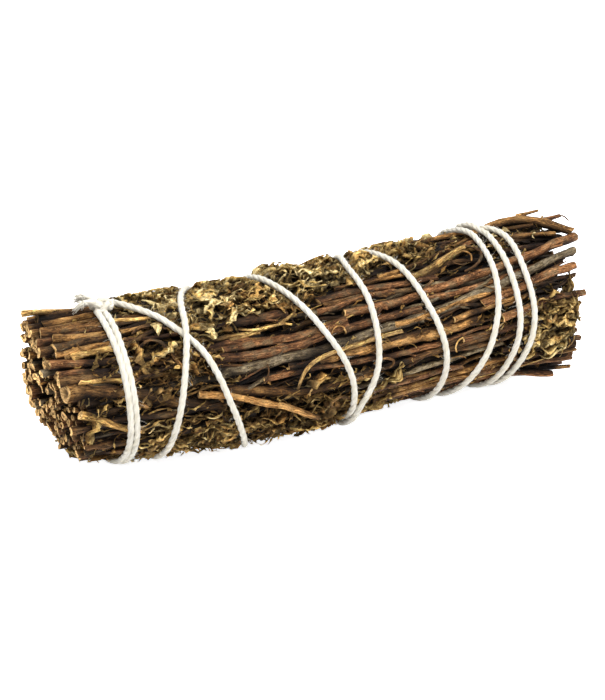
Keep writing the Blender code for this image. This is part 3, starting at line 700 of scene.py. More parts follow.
def on_top(spots, rise, thick):
    """(x, angle, reach) of a stem's middle from (x, angle) and maybe how far each spot stands out."""
    line = np.array([
        (spot[0] * MM, math.radians(spot[1]), spot[2] if len(spot) > 2 else rise) for spot in spots
    ])
    line[:, 2] = fitted((BUNDLE_TOP + line[:, 2]) * MM, line[:, 0]) - thick * MM
    return line


def base_start(angle, share_out):
    """Where the cut ends begin: domed, and cut askew, so they reach furthest high at the back."""
    return -HALF_LENGTH + (1.7 * share_out**2 + 4.8 * share_out * (1 - np.cos(angle + 0.61)) / 2) * MM


def tip_end(angle, share_out):
    """Where the tips end: those underneath before those on top."""
    return HALF_LENGTH - 6.0 * MM * share_out * (1 - np.cos(angle)) / 2


def drawn_in(x):
    """The share of its reach that the bundle keeps towards its cut ends."""
    return 1 - 0.04 * smooth_step(-x, 0.80 * HALF_LENGTH, HALF_LENGTH)


@functools.lru_cache
def thin_stem_plans():
    """Thin stems and broken twigs that fill the bundle's outside and its two ends."""
    chance = np.random.default_rng(7)
    plans = []
    for number in range(bpy.context.scene.smudge_stems.thin_count):
        kind = number % 7
        if number % 3 == 0:
            plans.append(sliver(chance, SLIVER_SEED + number))
        angle = chance.uniform(-math.pi, math.pi)
        slant = SLANT_RATE * chance.normal(1.0, 0.55)
        if kind < 2:
            radius = chance.uniform(0.30, 0.72) * MM
            middle = chance.uniform(-44, 50) * MM
            half = chance.uniform(9, 30) * MM
            reach = chance.uniform(15.0, 16.7) * MM
        elif kind < 5:
            radius = chance.uniform(0.5, 1.0) * MM
            half = chance.uniform(6, 10) * MM
            share = math.sqrt(chance.uniform(0.01, 1))
            reach = share * (15.7 + 0.9 * max(math.cos(angle), 0)) * MM
            slant = SLANT_RATE * chance.normal(1.0, 0.15)
            middle = half + base_start(angle, share) + chance.uniform(0, 2.4) * MM
        else:
            radius = chance.uniform(0.35, 0.85) * MM
            half = chance.uniform(7, 11) * MM
            reach = math.sqrt(chance.uniform(0.0, 1)) * 16.4 * MM
            middle = tip_end(angle, reach / (16.4 * MM)) - half - chance.uniform(0, 5) * MM
        start = max(middle - half, base_start(angle, 1.0) + 1 * MM if kind < 2 else -HALF_LENGTH)
        end = min(middle + half, tip_end(angle, 1.0) - 1.5 * MM if kind < 2 else HALF_LENGTH - 0.5 * MM)
        xs = np.linspace(start, end, 4)
        reaches = np.minimum(reach + chance.normal(0, 0.35, 4) * MM, 17.1 * MM - radius)
        line = np.stack([xs, angle + slant * (xs - middle), fitted(reaches, xs)], -1)
        bark = int(chance.choice([RED, RED, DARK, TAN, GREY, TAN, DARK]))
        plans.append((spread(line, 1.6 * MM), radius, bark, (THIN_SEED if kind < 2 else END_SEED) + number))
    return plans


def sliver(chance, seed):
    """A straw-thin stem or a split-off strip that lies between the others near the surface."""
    radius = chance.uniform(0.16, 0.34) * MM
    x = chance.uniform(-52, 46) * MM
    half = chance.uniform(3, 10) * MM
    angle = chance.uniform(-math.pi, math.pi)
    xs = np.linspace(max(x - half, -56 * MM), min(x + half, 58 * MM), 4)
    reaches = chance.uniform(16.0, 16.9) * MM + chance.normal(0, 0.3, 4) * MM
    reaches = fitted(np.minimum(reaches, 17.2 * MM - radius), xs)
    angles = angle + SLANT_RATE * (xs - x) + chance.normal(0, 0.035, 4)
    bark = int(chance.choice([STRAW, STRAW, TAN, RED]))
    return spread(np.stack([xs, angles, reaches], -1), 1.3 * MM), radius, bark, seed


# ---------------------------------------------------------------- the surface under the twine and leaves

CELL_X = 0.5 * MM
CELL_ANGLE = math.radians(2)
COLUMNS = 180
ROWS = int(2 * MAP_END / CELL_X) + 1


def cell(x, angle):
    """The row and column of the bundle's surface map at a place."""
    row = np.clip(np.rint((x + MAP_END) / CELL_X).astype(int), 0, ROWS - 1)
    column = np.rint(angle / CELL_ANGLE).astype(int) % COLUMNS
    return row, column


@functools.lru_cache
def stem_tops():
    """How far the stems reach from the axis, for each cell of the surface."""
    tops = np.full((ROWS, COLUMNS), 13.5 * MM)
    slim = [(line, radius * SLIMMER, bark, seed) for line, radius, bark, seed in main_stem_plans().values()]
    for (x, angle, reach), radius, *_ in (*slim, *surface_stem_plans(), *thin_stem_plans()):
        fine = np.linspace(x[0], x[-1], max(int(abs(x[-1] - x[0]) / CELL_X), 2))
        order = np.argsort(x)
        at_angle = np.interp(fine, x[order], angle[order])
        at_reach = np.interp(fine, x[order], reach[order])
        for step in range(-7, 8):
            row, column = cell(fine, at_angle + step * CELL_ANGLE)
            away = np.abs(step) * CELL_ANGLE * at_reach
            height = at_reach + np.sqrt(np.maximum(radius**2 - away**2, 0))
            height = np.where(away < radius, height, 0)
            np.maximum.at(tops, (row, column), height)
    return tops


def route_x(turns):
    """Where the twine is along X after so many turns: a smooth curve through TWINE_ROUTE."""
    stops = np.array(TWINE_ROUTE)
    t, x = stops[:, 0], stops[:, 1]
    slopes = np.gradient(x, t)
    slopes[1:-1] = (x[2:] - x[:-2]) / (t[2:] - t[:-2])
    i = np.clip(np.searchsorted(t, turns, side="right") - 1, 0, len(t) - 2)
    span = t[i + 1] - t[i]
    s = (turns - t[i]) / span
    return MM * (
        (2 * s**3 - 3 * s**2 + 1) * x[i]
        + (s**3 - 2 * s**2 + s) * slopes[i] * span
        + (3 * s**2 - 2 * s**3) * x[i + 1]
        + (s**3 - s**2) * slopes[i + 1] * span
    )


def crossings():
    """The turns at which a later strand passes over an earlier one."""
    fine = 96  # places looked at in each turn
    steps = np.arange(fine, int(TWINE_ROUTE[-1][0] * fine)) / fine
    found = []
    for back in range(1, 9):
        here = steps[steps > back]
        gap = route_x(here) - route_x(here - back)
        found += [(here[k] + here[k + 1]) / 2 for k in np.nonzero(gap[:-1] * gap[1:] < 0)[0]]
    return found


@functools.lru_cache
def twine_line():
    """The twine's middle line as x, angle and reach: taut over the stems, raised where it crosses itself."""
    thick = bpy.context.scene.smudge_twine.diameter
    turns = np.arange(0, TWINE_ROUTE[-1][0], 1 / 210)
    x = route_x(turns)
    x = x + 0.36 * MM * smooth_step(turns, 0.03, 0.15) * smooth_step(-turns, -0.95, -0.8)
    x = x - 0.38 * MM * smooth_step(turns, 1.03, 1.12) * smooth_step(-turns, -1.95, -1.8)
    angle = turns * math.tau
    tops = stem_tops()
    under = np.zeros(len(turns))
    for step in range(-2, 3):
        row, column = cell(x + step * 0.4 * MM, angle)
        under = np.maximum(under, tops[row, column])
    held = np.max([np.roll(under, k) for k in range(-5, 6)], axis=0)
    flat = wrap_radius(x)
    reach = np.clip(ease(held, 6) + 0.42 * thick, flat - 0.5 * MM, flat + 0.25 * MM)
    rise = np.zeros(len(turns))
    dip = np.zeros(len(turns))
    for crossing in crossings():
        at_x = route_x(np.array([crossing]))[0]
        spot = place(at_x, crossing * math.tau, wrap_radius(at_x))
        away = np.linalg.norm(place(x, angle, flat) - spot, axis=1)
        near = thick * (1 - smooth_step(away, 1.5 * MM, 7.0 * MM))
        rise = np.maximum(rise, np.where(np.abs(turns - crossing) < 0.25, 0.50 * near, 0))
        dip = np.maximum(dip, np.where(turns < crossing - 0.5, 0.42 * near, 0))
    reach = reach + rise - dip
    down = np.maximum(-np.cos(angle), 1e-6) * press(x) * sag(x, angle)
    return x, angle, np.minimum(reach, (AXIS_HEIGHT - LOWEST_TWINE) / down)


@functools.lru_cache
def leaf_ceiling():
    """How far a leaf may reach, for each cell: pressed flat under the twine, free away from it."""
    thick = bpy.context.scene.smudge_twine.diameter
    ceiling = np.full((ROWS, COLUMNS), 1.0)
    x, angle, reach = twine_line()
    for across in range(-9, 10):
        for along in range(-9, 10):
            row, column = cell(x + across * CELL_X, angle + along * CELL_ANGLE)
            away = np.hypot(across * CELL_X, along * CELL_ANGLE * reach)
            limit = reach - 0.40 * thick + 1.15 * np.maximum(away - 0.55 * thick, 0)
            np.minimum.at(ceiling, (row, column), np.where(away < 4.6 * MM, limit, 1.0))
    return ceiling


# ---------------------------------------------------------------- leaves


def blade(chance, length, width, steps, curl, bend, twist, lobes, columns, pleats):
    """A dry leaf blade with a lobed outline: drawn into folds, rolled in from its edges, bent and twisted.

    Gives its vertices, faces, place on the leaf and fold shading, from -0.5 in its creases to 0.5 on its
    ridges, which paints the creases darker and the ridges lighter through the leaf's tone.
    """
    v = np.linspace(0, 1, steps)[:, None]
    across = np.linspace(-1, 1, columns)[None]
    phase = chance.uniform(0, math.tau, 12)
    teeth = 0.64 + 0.36 * np.sin(lobes * math.tau * v + np.where(across < 0, phase[0], phase[1]))
    half = width * np.sin(math.pi * (0.06 + 0.90 * v)) ** 0.6 * teeth
    arc = curl * (1 + 0.45 * np.sin(4.5 * v + phase[2])) * across * half / width
    y = width / curl * np.sin(arc)
    z = width / curl * (1 - np.cos(arc))
    crumple = 0.16 * width + 0.014 * length
    folds = (
        np.sin(math.pi * pleats * across + phase[9] + 1.6 * np.sin(5 * v + phase[10])) if pleats else 0 * y
    )
    waves = np.sin(13 * v + phase[3]) * np.sin(2.8 * across + phase[4])
    z = z + crumple * waves + 0.7 * crumple * np.sin(23 * v + 3 * across + phase[5]) + 0.30 * width * folds
    y = y * (0.72 if pleats else 1) + crumple * np.sin(17 * v + phase[6] + 1.5 * across)
    y = y + 0.07 * length * np.sin(chance.uniform(3, 7) * v + phase[7])
    y = y + 0.028 * length * np.sin(chance.uniform(11, 17) * v + phase[11])
    turn = twist * (v - 0.5)
    y, z = y * np.cos(turn) - z * np.sin(turn), y * np.sin(turn) + z * np.cos(turn)
    slope = bend * (v - 0.5)
    x = length / bend * np.sin(slope) - z * np.sin(slope)
    z = length / bend * (1 - np.cos(slope)) + z * np.cos(slope)
    x = x + 0.5 * crumple * np.sin(3.1 * across + phase[8] + 9 * v)
    verts = np.stack([x, y, z], -1).reshape(-1, 3)
    k, j = np.meshgrid(np.arange(steps - 1), np.arange(columns - 1), indexing="ij")
    first = k * columns + j
    quads = np.stack([first, first + 1, first + columns + 1, first + columns], -1).reshape(-1, 4)
    grain = np.stack(np.broadcast_arrays(v, across, 0 * y), -1).reshape(-1, 3)
    fold_shading = 0.5 * np.clip(0.75 * folds + 0.4 * waves + 0.5 * (np.abs(across) - 0.5), -1, 1)
    return verts, quads, grain, np.broadcast_to(fold_shading, y.shape).ravel()


def either_way(chance, low, high):
    return chance.choice([-1, 1]) * chance.uniform(low, high)


# The forms of a leaf: width as a share of its length, stations along it, how far it curls in from its edges,
# bends and twists, how many lobes its outline has, stations across it, and pleats. A pair is a random range.
LEAF_FORMS = {
    "leaf": ((0.13, 0.24), 11, (1.2, 3.0), (0.2, 1.4), 1.6, (1.5, 3.6), 8, (1.5, 2.4)),
    "lobe": ((0.04, 0.09), 7, (1.0, 2.8), (0.3, 1.6), 1.6, 1.3, 4, 0),  # at the side of a whole leaf
    "broad": ((0.20, 0.30), 15, (0.9, 2.2), (0.2, 0.9), 0.9, (1.2, 2.4), 9, (1.6, 2.6)),  # laid on the pile
    "flat": ((0.15, 0.24), 14, (0.3, 0.9), (0.1, 0.5), 0.5, (1.2, 2.0), 9, (1.8, 3.0)),  # lies nearly flat
    "torn": ((0.09, 0.22), 7, (1.0, 3.0), (0.2, 1.8), 1.8, (1.0, 2.6), 5, 0),  # a small torn bit
    "shred": ((0.030, 0.062), 10, (0.9, 2.0), (0.6, 3.2), 4, 1.0, 3, 0),  # of a leaf's rim, rib or stalk
}


def leaf_form(chance, kind, length=1.0):
    """A blade of one of the forms."""
    width, steps, curl, bend, twist, lobes, columns, pleats = LEAF_FORMS[kind]
    width = chance.uniform(*width)
    curl, bend = either_way(chance, *curl), either_way(chance, *bend)
    twist = chance.uniform(-twist, twist)
    lobes, pleats = (
        chance.uniform(*value) if isinstance(value, tuple) else value for value in (lobes, pleats)
    )
    return blade(chance, length, width, steps, curl, bend, twist, lobes, columns, pleats)


def whole_leaf(chance):
    """A leaf about 1 long, drawn into folds, with a side lobe or two that curl their own way."""
    whole = leaf_form(chance, "leaf")
    pieces = [whole]
    for _ in range(chance.integers(1, 3)):
        verts, *rest = leaf_form(chance, "lobe", chance.uniform(0.3, 0.55))
        tilt = rotation(either_way(chance, 0.4, 1.0), chance.uniform(-0.5, 0.5), 0.0)
        root = whole[0].reshape(LEAF_FORMS["leaf"][1], -1, 3)[chance.integers(2, 9), 3]
        pieces.append(((verts + (0.2, 0, 0)) @ tilt.T + root, *rest))
    return pieces


def rotation(yaw, pitch, roll):
    """Rotation matrices, one or many, that turn about Z, then Y, then X."""
    cy, sy, cp, sp, cr, sr = (
        np.cos(yaw), np.sin(yaw), np.cos(pitch), np.sin(pitch), np.cos(roll), np.sin(roll)
    )
    rows = [
        [cy * cp, cy * sp * sr - sy * cr, cy * sp * cr + sy * sr],
        [sy * cp, sy * sp * sr + cy * cr, sy * sp * cr - cy * sr],
        [-sp, cp * sr, cp * cr],
    ]
    return np.moveaxis(np.array(rows), (0, 1), (-2, -1))


def scatter(heap, shapes, x, angle, reach, length, turn, chance, tone):
    """Lays leaves on the bundle's surface, and presses them under the twine and onto the table."""
    ceiling = leaf_ceiling()
    kind = chance.integers(0, len(shapes), len(x))
    for number, shape in enumerate(shapes):
        chosen = np.nonzero(kind == number)[0]
        if not len(chosen):
            continue
        middle = place(x[chosen], angle[chosen], reach[chosen])
        ahead = place(x[chosen] + 1 * MM, angle[chosen] + SLANT, reach[chosen]) - middle
        outward = place(x[chosen], angle[chosen], reach[chosen] + 1 * MM) - middle
        ahead = unit(ahead)
        side = unit(np.cross(outward, ahead))
        outward = np.cross(ahead, side)
        basis = np.stack([ahead, side, outward], -1)
        spin = basis @ rotation(*(turn[axis][chosen] for axis in range(3)))
        for verts, quads, grain, fold_shading in shape:
            placed = np.einsum("nij,vj->nvi", spin, verts) * length[chosen][:, None, None]
            placed = placed + middle[:, None]
            at_x, at_angle, at_reach = unplace(placed)
            row, column = cell(at_x, at_angle)
            free = 1.01 + 0.035 * smooth_step(np.cos(at_angle), -0.2, 0.7)
            free = (
                free * np.minimum(drawn_in(at_x) + 0.02, 1)
                + 0.06 * spot_cover(at_x, at_angle, -9, 134, 18, 24)
            )
            limit = np.minimum(ceiling[row, column], free * wrap_radius(at_x))
            over = at_reach - limit
            settled = np.where(over > 0, limit - 0.12 * MM * (1 - np.exp(-over / MM)), at_reach)
            share_out = np.clip(settled / WRAP_RADIUS, 0, 1)
            low, high = base_start(at_angle, share_out) + 1.2 * MM, tip_end(at_angle, share_out) - 3.5 * MM
            inside = np.where(at_x > high, high + 0.3 * (at_x - high), at_x)
            at_x = np.where(at_x < low, low + 0.2 * (at_x - low), inside)
            placed = place(at_x, at_angle, settled)
            placed[..., 2] = np.maximum(placed[..., 2], 0.06 * MM)
            many, size = placed.shape[:2]
            offsets = (np.arange(many) * size)[:, None, None]
            faces = (quads[None] + offsets).reshape(-1, 4)
            marks = np.broadcast_to(grain[None], (many, size, 3)).copy()
            marks[..., 2] = chance.uniform(0, 60, many)[:, None]
            # The tone is shifted by the fold shading: painted shade in the creases, painted light on the
            # ridges
            tones = np.clip(tone[chosen][:, None] + 0.55 * fold_shading[None], 0, 1)
            heap.add(placed.reshape(-1, 3), faces, (), 0, tones.ravel(), marks)


def patchiness(x, angle, seed):
    """A smooth random value from -1 to 1 over the bundle, the same at every run."""
    chance = np.random.default_rng(seed)
    total = np.zeros_like(x)
    for _ in range(7):
        waves_x = chance.uniform(-1, 1) * math.tau / (26 * MM)
        waves_angle = chance.integers(-4, 5)
        total += np.sin(waves_x * x + waves_angle * angle + chance.uniform(0, math.tau))
    return total / 3.2


def leaf_cover(x, angle):
    """How likely a leaf is at a place: thick along the top, in patches elsewhere, thin at the cut ends."""
    degrees = (np.degrees(angle) + 180) % 360 - 180
    edge = 38 - 20 * smooth_step(x, -8 * MM, 1 * MM) - 12 * smooth_step(-x, 30 * MM, 38 * MM)
    top = smooth_step(degrees, -78, -42) * smooth_step(-degrees, -edge - 8, -edge + 8)
    top = top * smooth_step(x, -52 * MM, -38 * MM) * (1 - 0.75 * smooth_step(x, 20 * MM, 34 * MM))
    top = (
        top * (1 - 0.85 * spot_cover(x, angle, 36, 19, 5, 9))
        * (1 - 0.6 * spot_cover(x, angle, -43, 8, 6, 14))
    )
    low_front = spot_cover(x, angle, -16, 134, 24, 26) * smooth_step(-x, -16 * MM, -2 * MM)
    tip_front = spot_cover(x, angle, 55, 84, 7, 24) + 0.5 * spot_cover(x, angle, 42, 78, 8, 12)
    front = spot_cover(x, angle, -46, 56, 7, 13) + spot_cover(x, angle, -36, 58, 6, 15)
    front = front + 0.4 * spot_cover(x, angle, -30, 52, 5, 9) + 0.25 * spot_cover(x, angle, 24, 62, 6, 10)
    behind = 0.5 * smooth_step(-np.sin(angle), 0.2, 0.7) * (0.5 + 0.8 * patchiness(x, angle, 5))
    under = 0.4 * smooth_step(-np.cos(angle), 0.5, 0.9) * (0.6 + 0.6 * patchiness(x, angle, 6))
    under = under * (1 - 0.85 * spot_cover(x, angle, 30, 140, 26, 24))
    return np.clip(top + 0.75 * low_front + 0.9 * tip_front + 0.8 * front + behind + under, 0.0, 1)


def spot_cover(x, angle, at_x, at_angle, wide, high):
    away = ((x / MM - at_x) / wide) ** 2 + ((np.degrees(angle) - at_angle) / high) ** 2
    return np.exp(-away)


def leaf_places(count, seed, top_only, usual, lift=0.0):
    """Leaves placed by cover, the pile along the top apart from the rest. usual is a middling length."""
    chance = np.random.default_rng(seed)
    x, angle = chance.uniform(-55, 60, 30 * count) * MM, chance.uniform(-math.pi, math.pi, 30 * count)
    is_top = np.cos(angle + math.radians(8)) > 0.45
    kept = (chance.random(len(x)) < leaf_cover(x, angle)) & (is_top if top_only else ~is_top)
    x, angle = x[kept][:count], angle[kept][:count]
    cover = leaf_cover(x, angle)
    high = (
        16.1 + 1.9 * cover if top_only
        else 15.6 + 1.6 * cover + 1.6 * spot_cover(x, angle, -9, 136, 18, 26)
    )
    high = high + 0.5 * patchiness(2.6 * x, 3 * angle, 9)
    reach = chance.uniform(14.9 + lift, np.maximum(high + lift, 15.3 + lift)) * MM
    length = usual * np.exp(chance.normal(0, 0.33, len(x)))
    return chance, x, angle, fitted(reach, x), length, leaf_turns(chance, len(x), 0.6, 0.22)


def leaf_turns(chance, count, yaw, pitch):
    """Random turns about each leaf's own three axes: more or less along the bundle, either side up."""
    return (
        chance.normal(0, yaw, count), chance.normal(0, pitch, count),
        chance.uniform(-math.pi, math.pi, count),
    )


# ---------------------------------------------------------------- materials


def put(tree, socket, value):
    """Links a socket to another one, or sets its value. A colour may leave out its alpha."""
    if isinstance(value, bpy.types.NodeSocket):
        tree.links.new(value, socket)
    else:
        socket.default_value = (*value, 1) if socket.type == "RGBA" and len(value) == 3 else value


def add(tree, kind, *inputs, **values):
    """A node with its properties (lower case), inputs by name (capitals) and first inputs in their order."""
    node = tree.nodes.new("ShaderNode" + kind)
    for key, value in values.items():
        if key[0].islower():
            setattr(node, key, value)
        else:
            put(tree, node.inputs[key.replace("_", " ")], value)
    for socket, value in zip(node.inputs, inputs):
        put(tree, socket, value)
    return node


def math_node(tree, operation, *values):
    return add(tree, "Math", *values, operation=operation).outputs[0]


def times(tree, first, second):
    return math_node(tree, "MULTIPLY", first, second)


def tinted(tree, colour, tint):
    return mix(tree, 1.0, colour, tint, "MULTIPLY")


def vector_math(tree, operation, *values):
    return add(tree, "VectorMath", *values, operation=operation).outputs[0]


def remap(tree, value, from_min, from_max, to_min, to_max):
    return add(tree, "MapRange", value, from_min, from_max, to_min, to_max).outputs[0]


def noise(tree, where, scale, detail, roughness=0.5):
    return add(tree, "TexNoise", Vector=where, Scale=scale, Detail=detail, Roughness=roughness).outputs[0]


def read(tree, name, output="Fac"):
    """What an attribute of the mesh says."""
    return add(tree, "Attribute", attribute_name=name).outputs[output]


def ramp(tree, source, *stops):
    """A colour by value. A stop is a position and a colour, or a number for a grey."""
    node = add(tree, "ValToRGB", source)
    points = node.color_ramp.elements
    while len(points) < len(stops):
        points.new(0.5)
    for point, (position, colour) in zip(points, stops, strict=True):
        point.position = position
        point.color = (*colour, 1) if isinstance(colour, tuple) else (colour, colour, colour, 1)
    return node.outputs["Color"]


def mix(tree, factor, first, second, blend_type="MIX"):
    """Mixes two colours. Each argument is a socket or a value."""
    node = add(tree, "Mix", factor, data_type="RGBA", blend_type=blend_type)
    for socket, value in zip([socket for socket in node.inputs if socket.type == "RGBA"], (first, second)):
        put(tree, socket, value)
    return next(socket for socket in node.outputs if socket.type == "RGBA")


def new_group(name, inputs, outputs, kind="Float"):
    """A node group with its sockets. An input is given as its kind of socket, or a number to start from."""
    group = bpy.data.node_groups.new(name, "ShaderNodeTree")
    for label, value in inputs.items():
        socket_type = "NodeSocket" + (value if isinstance(value, str) else "Float")
        socket = group.interface.new_socket(label, in_out="INPUT", socket_type=socket_type)
        if not isinstance(value, str):
            socket.default_value = value
    for label in outputs:
        group.interface.new_socket(label, in_out="OUTPUT", socket_type="NodeSocket" + kind)
    return group, group.nodes.new("NodeGroupInput").outputs, group.nodes.new("NodeGroupOutput").inputs


@functools.lru_cache
def grain_group():
    """Plant grain: long streaks, soft patches and small pits, from a piece's own lengthwise coordinates."""
    group, source, result = new_group(
        "plant_grain",
        {"Grain": "Vector", "Streak size": 1.6, "Stretch": 0.12, "Patch size": 0.22, "Pit size": 1.1},
        ("Streaks", "Patches", "Pits", "Wrinkles", "Flecks", "Height"),
    )
    grain, streak_size, pit_size = source["Grain"], source["Streak size"], source["Pit size"]
    stretch = add(group, "CombineXYZ", source["Stretch"], 1, 1).outputs[0]
    squeezed = vector_math(group, "MULTIPLY", grain, stretch)
    half_length = vector_math(group, "MULTIPLY", grain, (0.45, 1.0, 1.0))
    streaks = noise(group, squeezed, streak_size, 5.0, 0.62)
    patches = noise(group, grain, source["Patch size"], 3.0, 0.55)
    pits = add(group, "TexVoronoi", Vector=half_length, Scale=pit_size).outputs["Distance"]
    dots = math_node(group, "SUBTRACT", 1.0, times(group, pits, 4.0))
    dots = math_node(group, "MAXIMUM", dots, 0.0)
    fine = noise(group, squeezed, times(group, streak_size, 3.4), 3.0, 0.6)
    wrinkles = remap(group, fine, 0.49, 0.37, 0.0, 0.9)
    scaly = noise(group, half_length, times(group, pit_size, 2.4), 3.0, 0.7)
    flecks = remap(group, scaly, 0.57, 0.66, 0.0, 0.8)
    height = math_node(group, "MULTIPLY_ADD", dots, -0.35, streaks)
    height = math_node(group, "MULTIPLY_ADD", wrinkles, -0.30, height)
    for socket, value in zip(result, (streaks, patches, dots, wrinkles, flecks, height)):
        put(group, socket, value)
    return group


@functools.lru_cache
def crumple_group():
    """Crumpled leaf: a net of thin raised folds round sunken cells, drawn out along the bundle."""
    group, source, result = new_group(
        "leaf_crumple", {"Place": "Vector", "Size": 1100.0}, ("Folds", "Height")
    )
    wander = add(group, "TexNoise", Vector=source["Place"], Scale=650.0, Detail=2.0).outputs["Color"]
    moved = vector_math(group, "MULTIPLY_ADD", wander, (0.0020,) * 3, source["Place"])
    long = vector_math(group, "MULTIPLY", moved, (0.42, 1.0, 1.0))
    parts = []
    for factor, reach in ((1.0, 0.16), (2.1, 0.20)):
        size = times(group, source["Size"], factor)
        cells = add(group, "TexVoronoi", feature="DISTANCE_TO_EDGE", Vector=long, Scale=size)
        parts.append(remap(group, cells.outputs["Distance"], 0.0, reach, 1.0, 0.0))
    both = math_node(group, "MULTIPLY_ADD", parts[1], 0.4, times(group, parts[0], 0.6))
    put(group, result["Folds"], both)
    put(group, result["Height"], math_node(group, "POWER", both, 0.8))
    return group


@functools.lru_cache
def painted_gap_shade_group():
    """Painted shade: darkens a colour with its depth between the stems, down to a warm near-black, and
    lightens the outermost surfaces a little as painted light.
    """
    inputs = {"Colour": "Color", "Depth": 0.0, "Amount": 0.0}
    group, source, result = new_group("gap_shade", inputs, ("Colour",), "Color")
    shade_of_depth = ramp(
        group, source["Depth"], (0.0, 1.22), (0.12, (0.80, 0.78, 0.75)), (0.31, (0.27, 0.245, 0.215)),
        (0.66, (0.038, 0.032, 0.026)),
    )
    put(group, result["Colour"], mix(group, source["Amount"], source["Colour"], shade_of_depth, "MULTIPLY"))
    return group


@functools.lru_cache
def tone_group():
    """Multiplies a colour by a tint between a dull and a bright one, by a piece's own tone."""
    inputs = {"Colour": "Color", "Dull": "Color", "Bright": "Color", "Tone": 0.0}
    group, source, result = new_group("tone_spread", inputs, ("Colour",), "Color")
    tint = mix(group, source["Tone"], source["Dull"], source["Bright"])
    put(group, result["Colour"], tinted(group, source["Colour"], tint))
    return group


def grain_node(tree, streak_size, stretch, patch_size, pit_size):
    grain = read(tree, "grain", "Vector")
    return add(
        tree, "Group", grain, streak_size, stretch, patch_size, pit_size, node_tree=grain_group()
    ).outputs


# Painted shade in the gaps between stems and leaves, from the depth that MeasureGaps marks
def painted_gap_shade(tree, colour, amount=1.0):
    return add(tree, "Group", colour, read(tree, "depth"), amount, node_tree=painted_gap_shade_group()).outputs[0]


def by_tone(tree, colour, dull, bright):
    return add(tree, "Group", colour, dull, bright, read(tree, "tone"), node_tree=tone_group()).outputs[0]


def shade(colour, amount):
    return tuple(min(channel * amount, 1) for channel in colour)


def warm(colour, amount):
    """A paler colour that leans to yellow, as where the bark has rubbed, and as the painted highlight on the
    bark's raised streaks.
    """
    return tuple(min(channel * amount * tint, 1) for channel, tint in zip(colour, (1.0, 1.08, 1.10)))


def new_material(name, roughness, specular=0.5):
    """A material, its nodes, and its Principled shader."""
    material = bpy.data.materials.new(name)
    material.use_nodes = True
    tree = material.node_tree
    shader = tree.nodes["Principled BSDF"]
    shader.inputs["Roughness"].default_value = roughness
    shader.inputs["Specular IOR Level"].default_value = specular
    return material, tree, shader


def finish_shader(tree, shader, colour, height, strength, distance):
    """Gives a shader its colour and its bumps, whose distance is in mm."""
    put(tree, shader.inputs["Base Color"], colour)
    bump = add(tree, "Bump", Strength=strength, Distance=distance * MM, Height=height)
    put(tree, shader.inputs["Normal"], bump.outputs["Normal"])


def bark_material(name, colour, film, film_share, roughness):
    """Bark in streaks of its own colour, paler and yellower on the raised streaks as painted highlight and
    darker in the sunken ones as painted shade, with a paler film in patches, dark wrinkles that are partly
    painted crease shade, scars, and painted shade in the gaps.
    """
    material, tree, shader = new_material(name, roughness, 0.17)
    grain = grain_node(tree, 2.9, 0.12, 0.34, 0.95)
    # The streaks' colour follows their bump height: painted shade in the sunken ones, painted highlight on
    # the raised ones
    streaks = ramp(
        tree, grain["Streaks"], (0.34, shade(colour, 0.15)), (0.43, shade(colour, 0.55)),
        (0.52, shade(colour, 1.05)), (0.60, shade(colour, 1.8)), (0.70, warm(colour, 3.2)),
    )
    edge = 0.5 + 0.2 * (0.5 - film_share)
    where = ramp(tree, grain["Patches"], (edge - 0.05, 0), (edge + 0.08, 1))
    coated = mix(tree, times(tree, where, 0.6), streaks, film)
    # Wrinkles, also sunken creases in the bump, darkened to a tenth: partly their own dark colour, partly
    # painted crease shade
    wrinkles_darkened_and_shaded = mix(tree, grain["Wrinkles"], coated, shade(colour, 0.10))
    flecked = mix(tree, grain["Flecks"], wrinkles_darkened_and_shaded, warm(colour, 2.8))
    speck = mix(tree, where, shade(colour, 0.10), warm(colour, 4.0))
    scarred = mix(tree, grain["Pits"], flecked, speck)
    toned = by_tone(tree, scarred, (0.42, 0.41, 0.42), (1.60, 1.52, 1.38))
    rough = ramp(tree, grain["Streaks"], (0.3, 0.9), (0.75, roughness - 0.12))
    put(tree, shader.inputs["Roughness"], rough)
    finish_shader(tree, shader, painted_gap_shade(tree, toned), grain["Height"], 0.8, 0.32)
    return material


def cut_wood_material(colour):
    """Pale wood round a brown heart, dirty in places, with painted shade where it lies deep in the gaps."""
    material, tree, shader = new_material("cut_wood", 0.75, 0.18)
    grain = read(tree, "grain", "Vector")
    rings = ramp(
        tree, add(tree, "SeparateXYZ", grain).outputs["X"],
        (0.05, shade(colour, 0.22)), (0.32, shade(colour, 0.50)),
        (0.50, colour), (0.88, shade(colour, 1.15)), (1.0, shade(colour, 0.45)),
    )
    dirt = noise(tree, grain, 1.7, 4.0)
    worn = mix(tree, ramp(tree, dirt, (0.42, 0), (0.62, 0.85)), rings, shade(colour, 0.22))
    toned = by_tone(tree, worn, (0.35, 0.30, 0.26), (1.35, 1.33, 1.25))
    finish_shader(tree, shader, painted_gap_shade(tree, toned), dirt, 0.8, 0.3)
    return material


@functools.lru_cache
def stem_materials():
    """Bark in the order of RED, GREY, TAN, DARK and STRAW, then cut wood."""
    s = bpy.context.scene.smudge_stems
    ash = (0.135, 0.100, 0.055)
    return (
        bark_material("brown_bark", tuple(s.brown), ash, 0.30, 0.55),
        bark_material("grey_bark", tuple(s.grey), (0.235, 0.195, 0.135), 0.50, 0.66),
        bark_material("tan_bark", tuple(s.tan), (0.34, 0.205, 0.080), 0.40, 0.58),
        bark_material("dark_bark", tuple(s.dark), shade(ash, 0.7), 0.30, 0.60),
        bark_material("peeled_stem", tuple(s.straw), (0.54, 0.36, 0.15), 0.50, 0.56),
        cut_wood_material(tuple(s.cut_wood)),
    )


